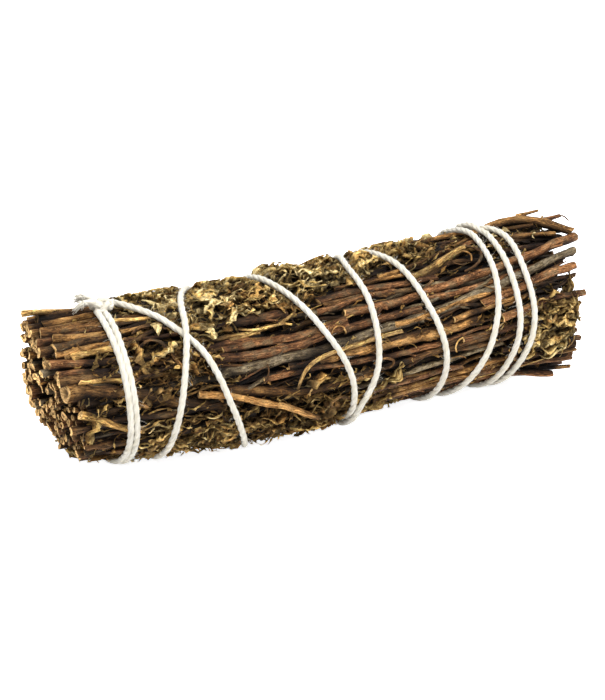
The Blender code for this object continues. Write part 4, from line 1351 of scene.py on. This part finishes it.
@functools.lru_cache
def leaf_material():
    """Dry leaf: umber, khaki or olive by leaf, blotched, with a paler midrib and underside, painted lighter
    on its raised folds and darker in the sunken cells between them, and painted shade in the gaps.
    """
    s = bpy.context.scene.smudge_leaves
    umber, khaki, olive = tuple(s.umber), tuple(s.khaki), tuple(s.olive)
    material, tree, shader = new_material("dry_leaf", 0.68, 0.13)
    grain = grain_node(tree, 6.0, 1.8, 2.4, 9.0)
    where = add(tree, "TexCoord").outputs["Object"]
    crumple = add(tree, "Group", where, 820.0, node_tree=crumple_group()).outputs
    own = ramp(
        tree, read(tree, "tone"), (0.0, shade(umber, 0.5)), (0.25, umber), (0.5, khaki), (0.75, olive),
        (1.0, shade(olive, 1.15)),
    )
    blotches = ramp(tree, grain["Patches"], (0.34, (0.56, 0.52, 0.46)), (0.66, (1.40, 1.37, 1.28)))
    # Painted light and shade on the crumple: darker in the sunken cells, lighter on the raised folds
    fold_light_and_shade = ramp(
        tree, crumple["Folds"],
        (0.0, (0.52, 0.48, 0.42)), (0.30, (1.04, 1.00, 0.94)), (0.75, (1.26, 1.27, 1.25)),
    )
    mottled_with_painted_folds = tinted(tree, tinted(tree, own, blotches), fold_light_and_shade)
    parts = add(tree, "SeparateXYZ", read(tree, "grain", "Vector")).outputs
    middle = math_node(tree, "ABSOLUTE", parts["Y"])
    rib = ramp(tree, middle, (0.0, 0.55), (0.22, 0))
    ribbed = mix(tree, rib, mottled_with_painted_folds, tinted(tree, own, (1.7, 1.7, 1.65)))
    behind = times(tree, add(tree, "NewGeometry").outputs["Backfacing"], 0.25)
    under = mix(tree, behind, ribbed, (0.50, 0.39, 0.18))
    veins = math_node(tree, "MULTIPLY_ADD", middle, -7.0, times(tree, parts["X"], 42.0))
    height = times(tree, grain["Height"], 0.5)
    height = math_node(tree, "MULTIPLY_ADD", math_node(tree, "SINE", veins), 0.10, height)
    height = math_node(tree, "ADD", height, crumple["Height"])
    finish_shader(tree, shader, painted_gap_shade(tree, under, 0.86), height, 0.9, 0.40)
    return material


@functools.lru_cache
def dust_in_painted_shade_material():
    """The leaf dust packed between the stems, painted near-black as shade deep inside the bundle, and darkest
    in the hollows of its lumps as painted shade.
    """
    material, tree, shader = new_material("crushed_leaf", 0.9)
    lumps = noise(tree, add(tree, "TexCoord").outputs["Object"], 620.0, 6.0, 0.7)
    # Near-black painted shade, darker where the lumps sink and less dark on their tops
    colour = ramp(
        tree, lumps,
        (0.38, (0.003, 0.002, 0.001)), (0.55, (0.012, 0.008, 0.004)), (0.72, (0.045, 0.030, 0.012)),
    )
    finish_shader(tree, shader, colour, lumps, 1.0, 1.0)
    return material


@functools.lru_cache
def cotton_material():
    """Soft cotton, with fine fibres lying along each ply."""
    cotton = tuple(bpy.context.scene.smudge_twine.cotton)
    material, tree, shader = new_material("cotton_twine", 0.85)
    grain = grain_node(tree, 7.0, 0.10, 0.5, 1.0)
    streaks = ramp(
        tree, grain["Streaks"], (0.30, shade(cotton, 0.72)), (0.50, cotton), (0.70, shade(cotton, 1.12))
    )
    patches = ramp(tree, grain["Patches"], (0.35, (0.93, 0.90, 0.82)), (0.60, 1))
    shader.inputs["Sheen Weight"].default_value = 0.25
    shader.inputs["Sheen Roughness"].default_value = 0.5
    finish_shader(tree, shader, tinted(tree, streaks, patches), grain["Streaks"], 0.55, 0.18)
    return material


# ---------------------------------------------------------------- operators


class BuildStems(bpy.types.Operator):
    """Build the main stems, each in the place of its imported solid"""

    bl_idname = "smudge_stick.stems"
    bl_label = "Main stems"

    def execute(self, context):
        for node, (line, radius, bark, seed) in main_stem_plans().items():
            heap = Heap()
            sides, wander = (10, 0.8) if line[2].mean() > OUTER_REACH else (8, 0.4)
            stem(heap, line, radius * SLIMMER, bark, np.random.default_rng(seed), sides, wander=wander)
            piece = heap.build(node + "_bark", stem_materials(), CRISP)
            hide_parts(node)
            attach(piece, "root")
        return {"FINISHED"}


class BuildSurfaceStems(bpy.types.Operator):
    """Build the stems that lie uppermost and show along their whole length"""

    bl_idname = "smudge_stick.surface_stems"
    bl_label = "Uppermost stems"

    def execute(self, context):
        heap = Heap()
        for line, radius, bark, seed, taper in surface_stem_plans():
            stem(heap, line, radius, bark, np.random.default_rng(seed), 11, taper=taper, wander=0.25)
        for bark, radius, flatness, spots in (*CURLS, *small_curls()):
            tendril(heap, spots, radius * MM, flatness, bark)
        piece = heap.build("uppermost_stems", stem_materials(), CRISP)
        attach(piece, "root")
        return {"FINISHED"}


class BuildThinStems(bpy.types.Operator):
    """Build the thin stems and twigs that lie between the others"""

    bl_idname = "smudge_stick.thin_stems"
    bl_label = "Thin stems"

    def execute(self, context):
        heap = Heap()
        for line, radius, bark, seed in thin_stem_plans():
            sides = 5 if radius < 0.35 * MM else 7
            stem(
                heap, line, radius, bark, np.random.default_rng(seed), sides, 0.75, 1.1,
                pointed=seed < END_SEED,
            )
        piece = heap.build("thin_stems", stem_materials(), CRISP)
        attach(piece, "root")
        return {"FINISHED"}


class BuildLeaves(bpy.types.Operator):
    """Build the crumpled leaves, and the leaf dust packed under them"""

    bl_idname = "smudge_stick.leaves"
    bl_label = "Leaves"

    def execute(self, context):
        settings = context.scene.smudge_leaves
        self.crushed()
        chance = np.random.default_rng(31)
        leaves = [whole_leaf(chance) for _ in range(18)]
        broad, shreds, torn, thin, flat = (
            [[leaf_form(chance, kind)] for _ in range(count)]
            for kind, count in (("broad", 16), ("shred", 20), ("torn", 16), ("shred", 8), ("flat", 10))
        )
        bits = torn + thin
        for name, top_only, share, seed, tone in (
            ("top_leaves", True, 0.58, 41, 0.55), ("side_leaves", False, 0.42, 42, 0.35),
        ):
            heap = Heap()
            count = int(settings.leaf_count * share)
            self.pile(heap, leaves, leaf_places(count, seed, top_only, settings.length), tone)
            count = int(settings.shred_count * share)
            self.pile(
                heap, shreds, leaf_places(count, seed + 10, top_only, 0.72 * settings.length, 0.35),
                tone + 0.08,
            )
            count = int((0.14 if top_only else 0.06) * settings.leaf_count)
            places = leaf_places(
                count, seed + 20, top_only, (1.05 if top_only else 0.75) * settings.length, 0.8
            )
            self.pile(heap, broad, places, tone + 0.06)
            if not top_only:
                self.pile(heap, flat, self.patch(40, 45, (48.5, 61), (64, 108), (16.2, 17.2), (7, 12)), 0.42)
                self.pile(heap, flat, self.patch(50, 46, (-44, 14), (100, 150), (16.4, 17.3), (6, 10)), 0.34)
                self.pile(heap, shreds, self.patch(300, 47, (-47, 7), (94, 156), (16.2, 17.6), (4, 8)), 0.46)
                self.pile(
                    heap, shreds, self.patch(150, 48, (-50, -28), (38, 78), (16.4, 17.3), (3.5, 7)), 0.40
                )
            self.finish(heap.build(name, (leaf_material(),)))
        self.crumbs(bits, settings.crumb_count)
        self.ends(bits)
        return {"FINISHED"}

    def patch(self, count, seed, along, around, high, long):
        """Places for leaves laid lengthwise over one patch; along, high and long in mm, around in degrees."""
        chance = np.random.default_rng(seed)
        x, angle = chance.uniform(*along, count) * MM, np.radians(chance.uniform(*around, count))
        reach = chance.uniform(*high, count) * wrap_radius(x) / WRAP_RADIUS * MM
        length = chance.uniform(*long, count) * MM
        turn = (chance.normal(0.1, 0.3, count), chance.normal(0, 0.1, count), chance.normal(0, 0.6, count))
        return chance, x, angle, reach, length, turn

    def pile(self, heap, shapes, places, usual_tone):
        """Leaves set at some places, toned in patches, and browner at the front, apart from the tips."""
        chance, x, angle, reach, length, turn = places
        browner = bell_round(angle, 62, 28) * smooth_step(-x, -40 * MM, -32 * MM)
        usual_tone = usual_tone - (0.40 if usual_tone > 0.5 else 0.14) * browner
        tone = np.clip(chance.normal(usual_tone, 0.16, len(x)) + 0.12 * patchiness(x, angle, 12), 0, 0.86)
        scatter(heap, shapes, x, angle, reach, length, turn, chance, tone)

    def crumbs(self, bits, count):
        """Torn bits that lie all over, down between the stems."""
        chance = np.random.default_rng(43)
        x, angle = chance.uniform(-57, 60, count) * MM, chance.uniform(-math.pi, math.pi, count)
        reach = fitted(chance.uniform(14.4, 16.9, count) * MM, x)
        self.strew("leaf_crumbs", bits, chance, (x, angle, reach), 3.3, 0.35, 0.33, 0.16)

    def ends(self, bits):
        """Bits that fill the gaps between the stems at both ends."""
        chance = np.random.default_rng(44)
        count = 1150
        at_tips = chance.random(count) < 0.68
        inner = np.sqrt(chance.uniform(0, 1, count))
        angle = chance.uniform(-math.pi, math.pi, count)
        tips = tip_end(angle, inner) - chance.uniform(3.0, 12, count) * MM
        x = np.where(at_tips, tips, base_start(angle, inner) + chance.uniform(2.5, 8, count) * MM)
        reach = 15.5 * MM * inner
        self.strew("leaves_at_ends", bits, chance, (x, angle, reach), 4.4, 0.55, 0.46, 0.2)

    def strew(self, name, bits, chance, places, usual, pitch, usual_tone, tone_spread):
        """Bits set at some places as one piece. usual is a middling length in mm."""
        count = len(places[0])
        length = np.exp(chance.normal(math.log(usual), 0.35, count)) * MM
        turn = leaf_turns(chance, count, 0.5, pitch)
        tone = np.clip(chance.normal(usual_tone, tone_spread, count), 0, 1)
        heap = Heap()
        scatter(heap, bits, *places, length, turn, chance, tone)
        self.finish(heap.build(name, (leaf_material(),)))

    def crushed(self):
        """The dust as one lumpy body inside the outer stems, sunk at both ends."""
        rows, sides = 120, 84
        x = np.linspace(-57, 56, rows)[:, None] * MM * np.ones((1, sides))
        angle = np.linspace(0, math.tau, sides, endpoint=False)[None] * np.ones((rows, 1))
        lumps = (
            patchiness(x, angle, 3) + 0.8 * patchiness(3 * x, 3 * angle, 4)
            + 0.6 * patchiness(7 * x, 7 * angle, 8)
        )
        reach = (14.0 * MM + 0.45 * MM * lumps) * wrap_radius(x) / WRAP_RADIUS
        ends = np.minimum((x + 57.2 * MM) / (5 * MM), (56.2 * MM - x) / (9 * MM))
        reach = (
            reach * np.sqrt(np.clip(1 - (1 - np.clip(ends, 0, 1)) ** 2, 0.002, 1))
            * (1 + 0.05 * lumps * (ends < 1))
        )
        rings = place(x, angle, reach)
        heap = Heap()
        heap.add(*skin(rings, (rings[0].mean(0), rings[-1].mean(0))))
        piece = heap.build("crushed_leaves", (dust_in_painted_shade_material(),))
        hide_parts("packed_leaves")
        self.finish(piece)

    def finish(self, piece):
        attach(piece, "root")


def plies(heap, points, thick, lay):
    """Twisted twine round a line: three soft plies."""
    length = along_line(points)
    _, side, other = line_frame(points)
    for ply in range(3):
        turn = (length / lay + ply / 3) * math.tau
        offset = side * np.cos(turn)[:, None] + other * np.sin(turn)[:, None]
        tube(heap, points + offset * 0.175 * thick, np.full(len(points), 0.325 * thick), 8, seed=ply + 1.0)


def fibres(heap, roots, outward, ahead, chance, longest):
    """Loose cotton fibres: narrow curved strips that stand off the twine."""
    for root, out, forward in zip(roots, outward, ahead, strict=True):
        length = chance.uniform(0.35, 1) * longest
        sideways = np.cross(out, forward)
        lean = (
            out * chance.uniform(0.4, 1) + forward * chance.normal(0, 0.8)
            + sideways * chance.normal(0, 0.5)
        )
        lean = lean / np.linalg.norm(lean)
        curve = unit(forward * chance.normal(0, 1) + sideways * chance.normal(0, 1)) * length * 0.5
        wide = unit(np.cross(lean, out + 0.01)) * 0.017 * MM
        share = np.linspace(0, 1, 4)[:, None]
        middle = root + lean * length * share + curve * share**2
        middle[:, 2] = np.maximum(middle[:, 2], 0.04 * MM)
        heap.add(np.concatenate([middle - wide, middle + wide]), [(k, k + 1, k + 5, k + 4) for k in range(3)])


END_GRID = 0.7 * MM  # the size of a square in the map of an end
END_GRID_CELLS = 90
END_GRID_CORNER = (0.03, 0.01)  # how far its corner lies from the frame's origin, along -Y and -Z


class MeasureGaps(bpy.types.Operator):
    """Mark how deep each point of the stems and leaves lies under the bundle's surface, for the shade painted
    into the gaps
    """

    bl_idname = "smudge_stick.gaps"
    bl_label = "Shade of the gaps"

    def execute(self, context):
        surface = np.full((ROWS, COLUMNS), 14.0 * MM)
        found = []
        for piece in context.scene.objects:
            if piece.type == "MESH" and "tone" in piece.data.attributes:
                verts = np.empty(len(piece.data.vertices) * 3, np.float32)
                piece.data.vertices.foreach_get("co", verts)
                verts = verts.reshape(-1, 3).astype(float)
                x, angle, reach = unplace(verts)
                at = cell(x, angle)
                found.append((piece, verts, x, at, reach))
                np.maximum.at(surface, at, reach)
        if not found:
            raise RuntimeError("Build the stems and leaves first")
        surface = np.max(shifted(surface, 2), axis=0)
        surface = np.mean(shifted(surface, 2), axis=0)
        ends = [self.end_map(found, way) for way in (-1, 1)]
        for piece, verts, x, at, reach in found:
            under = np.clip((surface[at] - reach - 0.2 * MM) / (2.4 * MM), 0, 1)
            for way, end in zip((-1, 1), ends, strict=True):
                behind = end[self.square(verts)] - way * x - 0.5 * MM
                under = np.where(
                    way * x > 46 * MM, np.minimum(under, np.clip(behind / (5.0 * MM), 0, 1)), under
                )
            depth = piece.data.attributes.new("depth", "FLOAT", "POINT")
            depth.data.foreach_set("value", under.astype(np.float32))
        return {"FINISHED"}

    def square(self, verts):
        """The cell of a grid across the bundle in which each point lies."""
        across = np.rint((verts[:, 1:] + END_GRID_CORNER) / END_GRID).astype(int)
        return tuple(np.clip(across, 0, END_GRID_CELLS - 1).T)

    def end_map(self, found, way):
        """How far the bundle reaches along X at one end, for each cell across it."""
        reaches = np.zeros((END_GRID_CELLS, END_GRID_CELLS))
        for _, verts, x, _, _ in found:
            np.maximum.at(reaches, self.square(verts), way * x)
        return np.mean(shifted(np.max(shifted(reaches, 2), axis=0), 1), axis=0)


def shifted(grid, most):
    """Copies of a grid, each moved by up to so many cells both ways."""
    steps = range(-most, most + 1)
    return [np.roll(grid, (a, b), (0, 1)) for a in steps for b in steps]


class BuildTwine(bpy.types.Operator):
    """Build the cotton twine along its whole route, with its knot, frayed tails and loose fibres"""

    bl_idname = "smudge_stick.twine"
    bl_label = "Twine"

    def execute(self, context):
        s = context.scene.smudge_twine
        line = place(*twine_line())
        middle = place(KNOT_X, 0.0, wrap_radius(KNOT_X) + 1.0 * MM)
        heap = Heap()
        plies(heap, np.concatenate([line, self.lead(line, middle)]), s.diameter, s.lay)
        twine = heap.build("twisted_twine", (cotton_material(),))
        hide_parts("twine")
        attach(twine, "root")
        self.knot(s, middle)
        self.fuzz(line, s)
        return {"FINISHED"}

    def lead(self, line, middle):
        """The last of the twine, on from its route into the middle of the knot."""
        t = np.linspace(0, 1, 24)[1:, None]
        end, span = line[-1], middle - line[-1]
        onward = unit(line[-1] - line[-4]) * np.linalg.norm(span)
        curve = end + span * (3 * t**2 - 2 * t**3) + onward * (t**3 - 2 * t**2 + t) + span * (t**3 - t**2)
        curve[:, 2] += 0.8 * MM * np.sin(t[:, 0] * math.pi) ** 2
        return curve

    def knot(self, s, middle):
        """An overhand knot drawn tight, and two short tails that fray."""
        chance = np.random.default_rng(61)
        heap = Heap()
        t = np.linspace(0, math.tau, 90)
        loop = np.stack([
            np.sin(t) + 2 * np.sin(2 * t), np.cos(t) - 2 * np.cos(2 * t), -np.sin(3 * t),
        ], -1) * np.array([0.80, 0.50, 0.75]) * MM
        plies(heap, middle + loop, 0.85 * s.diameter, 0.7 * s.lay)
        for end, bow in (((-53.2, -1.0, 2.4), 1.0), ((-52.0, 2.0, 3.2), 0.8)):
            x, y, up = (value * MM for value in end)
            tip = np.array([x, AXIS_Y + y, place(x, 0.0, wrap_radius(x))[2] + up])
            share = np.linspace(0, 1, 24)[:, None]
            tail = middle + (tip - middle) * share
            tail[:, 2] += bow * MM * np.sin(share[:, 0] * math.pi)
            plies(heap, tail[:17], 0.85 * s.diameter, s.lay)
            ahead = unit(tail[-1] - tail[-6])
            root = np.repeat(tail[15][None], 46, axis=0) + chance.normal(0, 0.22 * MM, (46, 3))
            for start in root:
                way = unit(ahead + chance.normal(0, 0.24, 3))
                size = chance.uniform(1.4, 3.2) * MM
                steps = np.linspace(0, 1, 5)[:, None]
                strand = start + way * size * steps + chance.normal(0, 0.35 * MM, 3) * steps**2
                tube(heap, strand, np.linspace(0.10, 0.04, 5) * MM, 4, seed=chance.uniform(0, 9))
        knot = heap.build("twine_knot", (cotton_material(),))
        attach(knot, "root")

    def fuzz(self, line, s):
        chance = np.random.default_rng(62)
        ahead, _, _ = line_frame(line)
        spots = chance.integers(5, len(line) - 5, s.fibre_count)
        outward = off_axis(line)[spots]
        forward = ahead[spots]
        sideways = np.cross(outward, forward)
        tilt = chance.uniform(-1.7, 1.7, len(spots))[:, None]
        away = unit(outward * np.cos(tilt) + sideways * np.sin(tilt))
        heap = Heap()
        fibres(heap, line[spots] + away * 0.42 * s.diameter, away, forward, chance, 1.5 * MM)
        fuzz = heap.build("twine_fibres", (cotton_material(),))
        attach(fuzz, "root")


class BuildStage(bpy.types.Operator):
    """Set the floor, the soft lamps and the camera"""

    bl_idname = "smudge_stick.stage"
    bl_label = "Stage"

    def execute(self, context):
        s = context.scene.smudge_stage
        self.floor(tuple(s.white))
        self.backdrop(tuple(s.white))
        self.lamp("key", (-0.06, -0.17, 0.65), 0.30, 6.4)
        self.lamp("fill", (0.42, -0.28, 0.34), 0.50, 3.1)
        self.lamp("left", (-0.55, -0.20, 0.22), 0.40, 1.2)
        self.lamp("rim", (0.20, 0.45, 0.50), 0.50, 1.4)
        data = bpy.data.cameras.new("camera")
        data.lens = s.lens
        data.sensor_width = 36
        data.clip_start = 0.01
        camera = new_object("camera", data)
        camera.location = s.camera_place
        look_at(camera, s.camera_aim)
        context.scene.camera = camera
        context.scene.view_settings.view_transform = "Standard"
        return {"FINISHED"}

    def floor(self, white):
        """A pale floor that shows white to the camera, apart from the shadow on it."""
        mesh = bpy.data.meshes.new("floor")
        mesh.from_pydata([(-3, -3, 0), (3, -3, 0), (3, 3, 0), (-3, 3, 0)], [], [(0, 1, 2, 3)])
        floor = new_object("floor", mesh)
        material, tree, shader = new_material("floor", 0.9, 0.0)
        put(tree, shader.inputs["Base Color"], white)
        glow, nothing = (add(tree, "Emission", Strength=strength).outputs[0] for strength in (0.885, 0.0))
        both = add(tree, "AddShader", shader.outputs[0], for_camera(tree, glow, nothing)).outputs[0]
        put(tree, tree.nodes["Material Output"].inputs["Surface"], both)
        mesh.materials.append(material)
        floor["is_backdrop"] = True

    def backdrop(self, white):
        """An even white world for the camera, and a plain level of light for the rest."""
        world = bpy.data.worlds.new("studio")
        bpy.context.scene.world = world
        world.use_nodes = True
        tree = world.node_tree
        tree.nodes.clear()
        seen = add(tree, "Background", (1, 1, 1), 1.0).outputs[0]
        lit = add(tree, "Background", white, 0.14).outputs[0]
        add(tree, "OutputWorld", for_camera(tree, seen, lit))

    def lamp(self, name, spot, size, power):
        data = bpy.data.lights.new(name, "AREA")
        data.size = size
        data.energy = power
        lamp = new_object(name, data)
        lamp.location = spot
        look_at(lamp, (0, 0, 0.015))


def for_camera(tree, seen, otherwise):
    """One shader for what the camera sees directly, and another for all other light."""
    direct = add(tree, "LightPath").outputs["Is Camera Ray"]
    return add(tree, "MixShader", direct, otherwise, seen).outputs[0]


def look_at(obj, point):
    away = np.array(obj.location, float) - np.array(point, float)
    across = math.hypot(away[0], away[1])
    obj.rotation_euler = (math.atan2(across, away[2]), 0, math.atan2(away[0], -away[1]))


class SmudgeStickPanel(bpy.types.Panel):
    """Lists the pieces and their settings"""

    bl_idname = "VIEW3D_PT_smudge_stick"
    bl_label = "Smudge stick"
    bl_space_type = "VIEW_3D"
    bl_region_type = "UI"
    bl_category = "Smudge stick"

    def draw(self, context):
        for name, kind, operators in GROUPS:
            box = self.layout.box()
            for prop in kind.__annotations__:
                box.prop(getattr(context.scene, name), prop)
            for operator in operators:
                box.operator(operator.bl_idname)


GROUPS = (
    ("smudge_stems", StemSettings, (BuildStems, BuildSurfaceStems, BuildThinStems)),
    ("smudge_leaves", LeafSettings, (BuildLeaves, MeasureGaps)),
    ("smudge_twine", TwineSettings, (BuildTwine,)),
    ("smudge_stage", StageSettings, (BuildStage,)),
)


def register():
    for name, kind, operators in GROUPS:
        for cls in (kind, *operators):
            bpy.utils.register_class(cls)
        setattr(bpy.types.Scene, name, PointerProperty(type=kind))
    bpy.utils.register_class(SmudgeStickPanel)


def unregister():
    bpy.utils.unregister_class(SmudgeStickPanel)
    for name, kind, operators in reversed(GROUPS):
        delattr(bpy.types.Scene, name)
        for cls in (*operators, kind):
            bpy.utils.unregister_class(cls)


def write_size():
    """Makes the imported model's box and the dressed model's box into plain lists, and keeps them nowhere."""
    boxes = {"cad": CAD_BOX, "visual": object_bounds()}
    plain = {name: [[float(value) for value in corner] for corner in box] for name, box in boxes.items()}


def main():
    for name in ("Cube", "Light", "Camera"):
        if name in bpy.data.objects:
            bpy.data.objects.remove(bpy.data.objects[name])
    register()
    bpy.ops.smudge_stick.stage()
    bpy.ops.smudge_stick.stems()
    bpy.ops.smudge_stick.surface_stems()
    bpy.ops.smudge_stick.thin_stems()
    bpy.ops.smudge_stick.leaves()
    bpy.ops.smudge_stick.gaps()
    bpy.ops.smudge_stick.twine()
    write_size()


if __name__ == "__main__":
    main()
